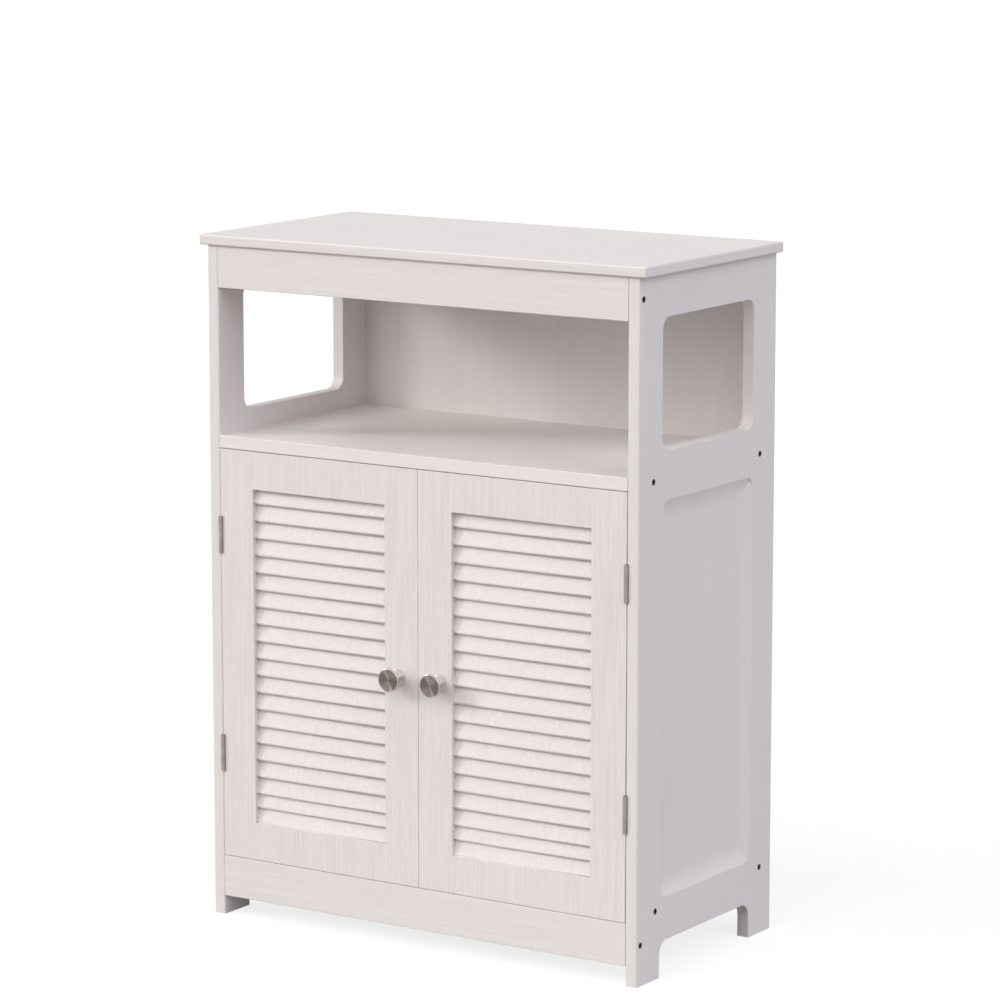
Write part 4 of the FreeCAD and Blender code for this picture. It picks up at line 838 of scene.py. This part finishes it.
def make_knob():
    """A turned knob: a foot, a neck, and a flaring head with a rim about its dished face."""
    foot = (KNOB_FOOT, KNOB_FOOT_HIGH)
    head_back = (KNOB_HEAD, KNOB_HEAD_BACK)
    rim_outside = (KNOB_HEAD, KNOB_REACH)
    rim_inside = (KNOB_FACE, KNOB_REACH)
    dish = [
        (KNOB_FACE * outwards, KNOB_REACH - KNOB_DISH * deep) for outwards, deep in DISH_RINGS
    ]
    rings = [
        (KNOB_FOOT, 0.0), foot, (KNOB_NECK, KNOB_NECK_START),
        (KNOB_NECK, KNOB_HEAD_BACK - KNOB_FLARE), head_back, rim_outside, rim_inside,
        *dish, (0.0, KNOB_REACH - KNOB_DISH),
    ]
    rounded = {
        foot: KNOB_EASE, head_back: KNOB_EASE, rim_outside: KNOB_EASE, rim_inside: KNOB_FACE_EASE,
    }
    bm = bmesh.new()
    profile = [bm.verts.new((radius, -reach, 0)) for radius, reach in rings]
    for start, end in zip(profile, profile[1:]):
        bm.edges.new((start, end))
    bmesh.ops.spin(
        bm, geom=list(bm.verts) + list(bm.edges), cent=(0, 0, 0), axis=(0, 1, 0), dvec=(0, 0, 0),
        angle=math.tau, steps=KNOB_STEPS, use_merge=True)
    bmesh.ops.remove_doubles(bm, verts=bm.verts, dist=SAME_PLACE)
    bmesh.ops.recalc_face_normals(bm, faces=bm.faces)
    for (radius, reach), rounding in rounded.items():
        ring = [
            edge for edge in bm.edges
            if all(abs(vert.co.xz.length - radius) < SAME_RING for vert in edge.verts)
            and all(abs(vert.co.y + reach) < SAME_RING for vert in edge.verts)
        ]
        round_edges(bm, ring, rounding, ROUND_STEPS)
    bmesh.ops.translate(bm, vec=(KNOB_AXIS.x, DOOR_FRONT, KNOB_AXIS.z), verts=bm.verts)
    shade(bm, set())
    return bm


place_on_both_doors(make_knob(), "turned_knob", knob_nickel, ["knob"])


# ---------------------------------------------------------------- stage, light and camera

PURE_WHITE = (1.0, 1.0, 1.0, 1.0)
WARM_WHITE = (1.0, 0.974, 0.956)
COOL_WHITE = (0.82, 0.86, 1.0)

FLOOR_HALF_WIDTH = 40.0
FLOOR_GREY = (0.30, 0.30, 0.30, 1.0)
FLOOR_GLOW = 0.79
WORLD_LIGHT = 0.30

# Distant lamps: name, which way the light goes, strength, colour and width in degrees.
LAMPS = (
    ("window", (0.78, 0.51, -0.36), 0.38, WARM_WHITE, 18),
    ("front_panel", (0.28, 0.82, -0.50), 0.365, WARM_WHITE, 60),
    ("side_panel", (-0.86, 0.0, -0.51), 0.37, COOL_WHITE, 60),
    ("corner_panel", (-0.55, 0.55, -0.63), 0.18, WARM_WHITE, 60),
)

# Right of the front and a little above the top; the angles are degrees downwards and leftwards.
CAMERA_PLACE = (2.6655, -4.0439, 1.3382)
CAMERA_DOWN = 9.832
CAMERA_LEFT = 33.196
CAMERA_LENS = 154.44
CAMERA_SENSOR = 36.0


def seen_rays(tree):
    """1 for rays that reach the camera straight, off a gloss or through glass, and 0 for light."""
    path = tree.nodes.new("ShaderNodeLightPath").outputs
    seen = calculate(tree, "ADD", path["Is Camera Ray"], path["Is Glossy Ray"])
    return calculate(tree, "ADD", seen, path["Is Transmission Ray"], clamp=True)


def make_floor():
    """A wide pale floor that looks white and takes the object's shadow."""
    bm = bmesh.new()
    bmesh.ops.create_grid(bm, x_segments=1, y_segments=1, size=FLOOR_HALF_WIDTH)
    mesh = bpy.data.meshes.new("floor")
    bm.to_mesh(mesh)
    bm.free()
    floor = bpy.data.objects.new("floor", mesh)
    bpy.context.scene.collection.objects.link(floor)
    material = bpy.data.materials.new("floor_white")
    material.use_nodes = True
    tree = material.node_tree
    shader = tree.nodes["Principled BSDF"].inputs
    shader["Base Color"].default_value = FLOOR_GREY
    shader["Roughness"].default_value = 1.0
    shader["Specular IOR Level"].default_value = 0.0
    shader["Emission Color"].default_value = PURE_WHITE
    glow = calculate(tree, "MULTIPLY", seen_rays(tree), FLOOR_GLOW)
    plug(tree, glow, shader["Emission Strength"])
    mesh.materials.append(material)


def make_world():
    """Even light all round, on a white background."""
    world = bpy.data.worlds.new("studio")
    bpy.context.scene.world = world
    world.use_nodes = True
    tree = world.node_tree
    tree.nodes.clear()
    light = tree.nodes.new("ShaderNodeBackground")
    light.inputs["Color"].default_value = WARM_WHITE + (1.0,)
    light.inputs["Strength"].default_value = WORLD_LIGHT
    backdrop = tree.nodes.new("ShaderNodeBackground")
    backdrop.inputs["Color"].default_value = PURE_WHITE
    backdrop.inputs["Strength"].default_value = 1.0
    mix = tree.nodes.new("ShaderNodeMixShader")
    plug(tree, seen_rays(tree), mix.inputs[0])
    plug(tree, light.outputs[0], mix.inputs[1])
    plug(tree, backdrop.outputs[0], mix.inputs[2])
    output = tree.nodes.new("ShaderNodeOutputWorld")
    plug(tree, mix.outputs[0], output.inputs["Surface"])


def make_lamp(name, towards, strength, colour, width):
    """A distant lamp: which way its light goes, how strong, and how wide it is in degrees."""
    lamp = bpy.data.lights.new(name, "SUN")
    lamp.energy = strength * math.pi
    lamp.color = colour
    lamp.angle = math.radians(width)
    holder = bpy.data.objects.new(name, lamp)
    holder.rotation_euler = Vector(towards).to_track_quat("-Z", "Y").to_euler()
    bpy.context.scene.collection.objects.link(holder)


def make_camera():
    """The camera in its place, looking down and left at the cabinet."""
    lens = bpy.data.cameras.new("camera")
    lens.sensor_width = CAMERA_SENSOR
    lens.lens = CAMERA_LENS
    camera = bpy.data.objects.new("camera", lens)
    camera.location = CAMERA_PLACE
    turn = Euler((math.radians(90 - CAMERA_DOWN), 0.0, math.radians(CAMERA_LEFT)))
    camera.rotation_euler = turn
    bpy.context.scene.collection.objects.link(camera)
    bpy.context.scene.camera = camera


make_floor()
make_world()
for lamp_values in LAMPS:
    make_lamp(*lamp_values)
make_camera()
bpy.context.scene.view_settings.view_transform = "Standard"
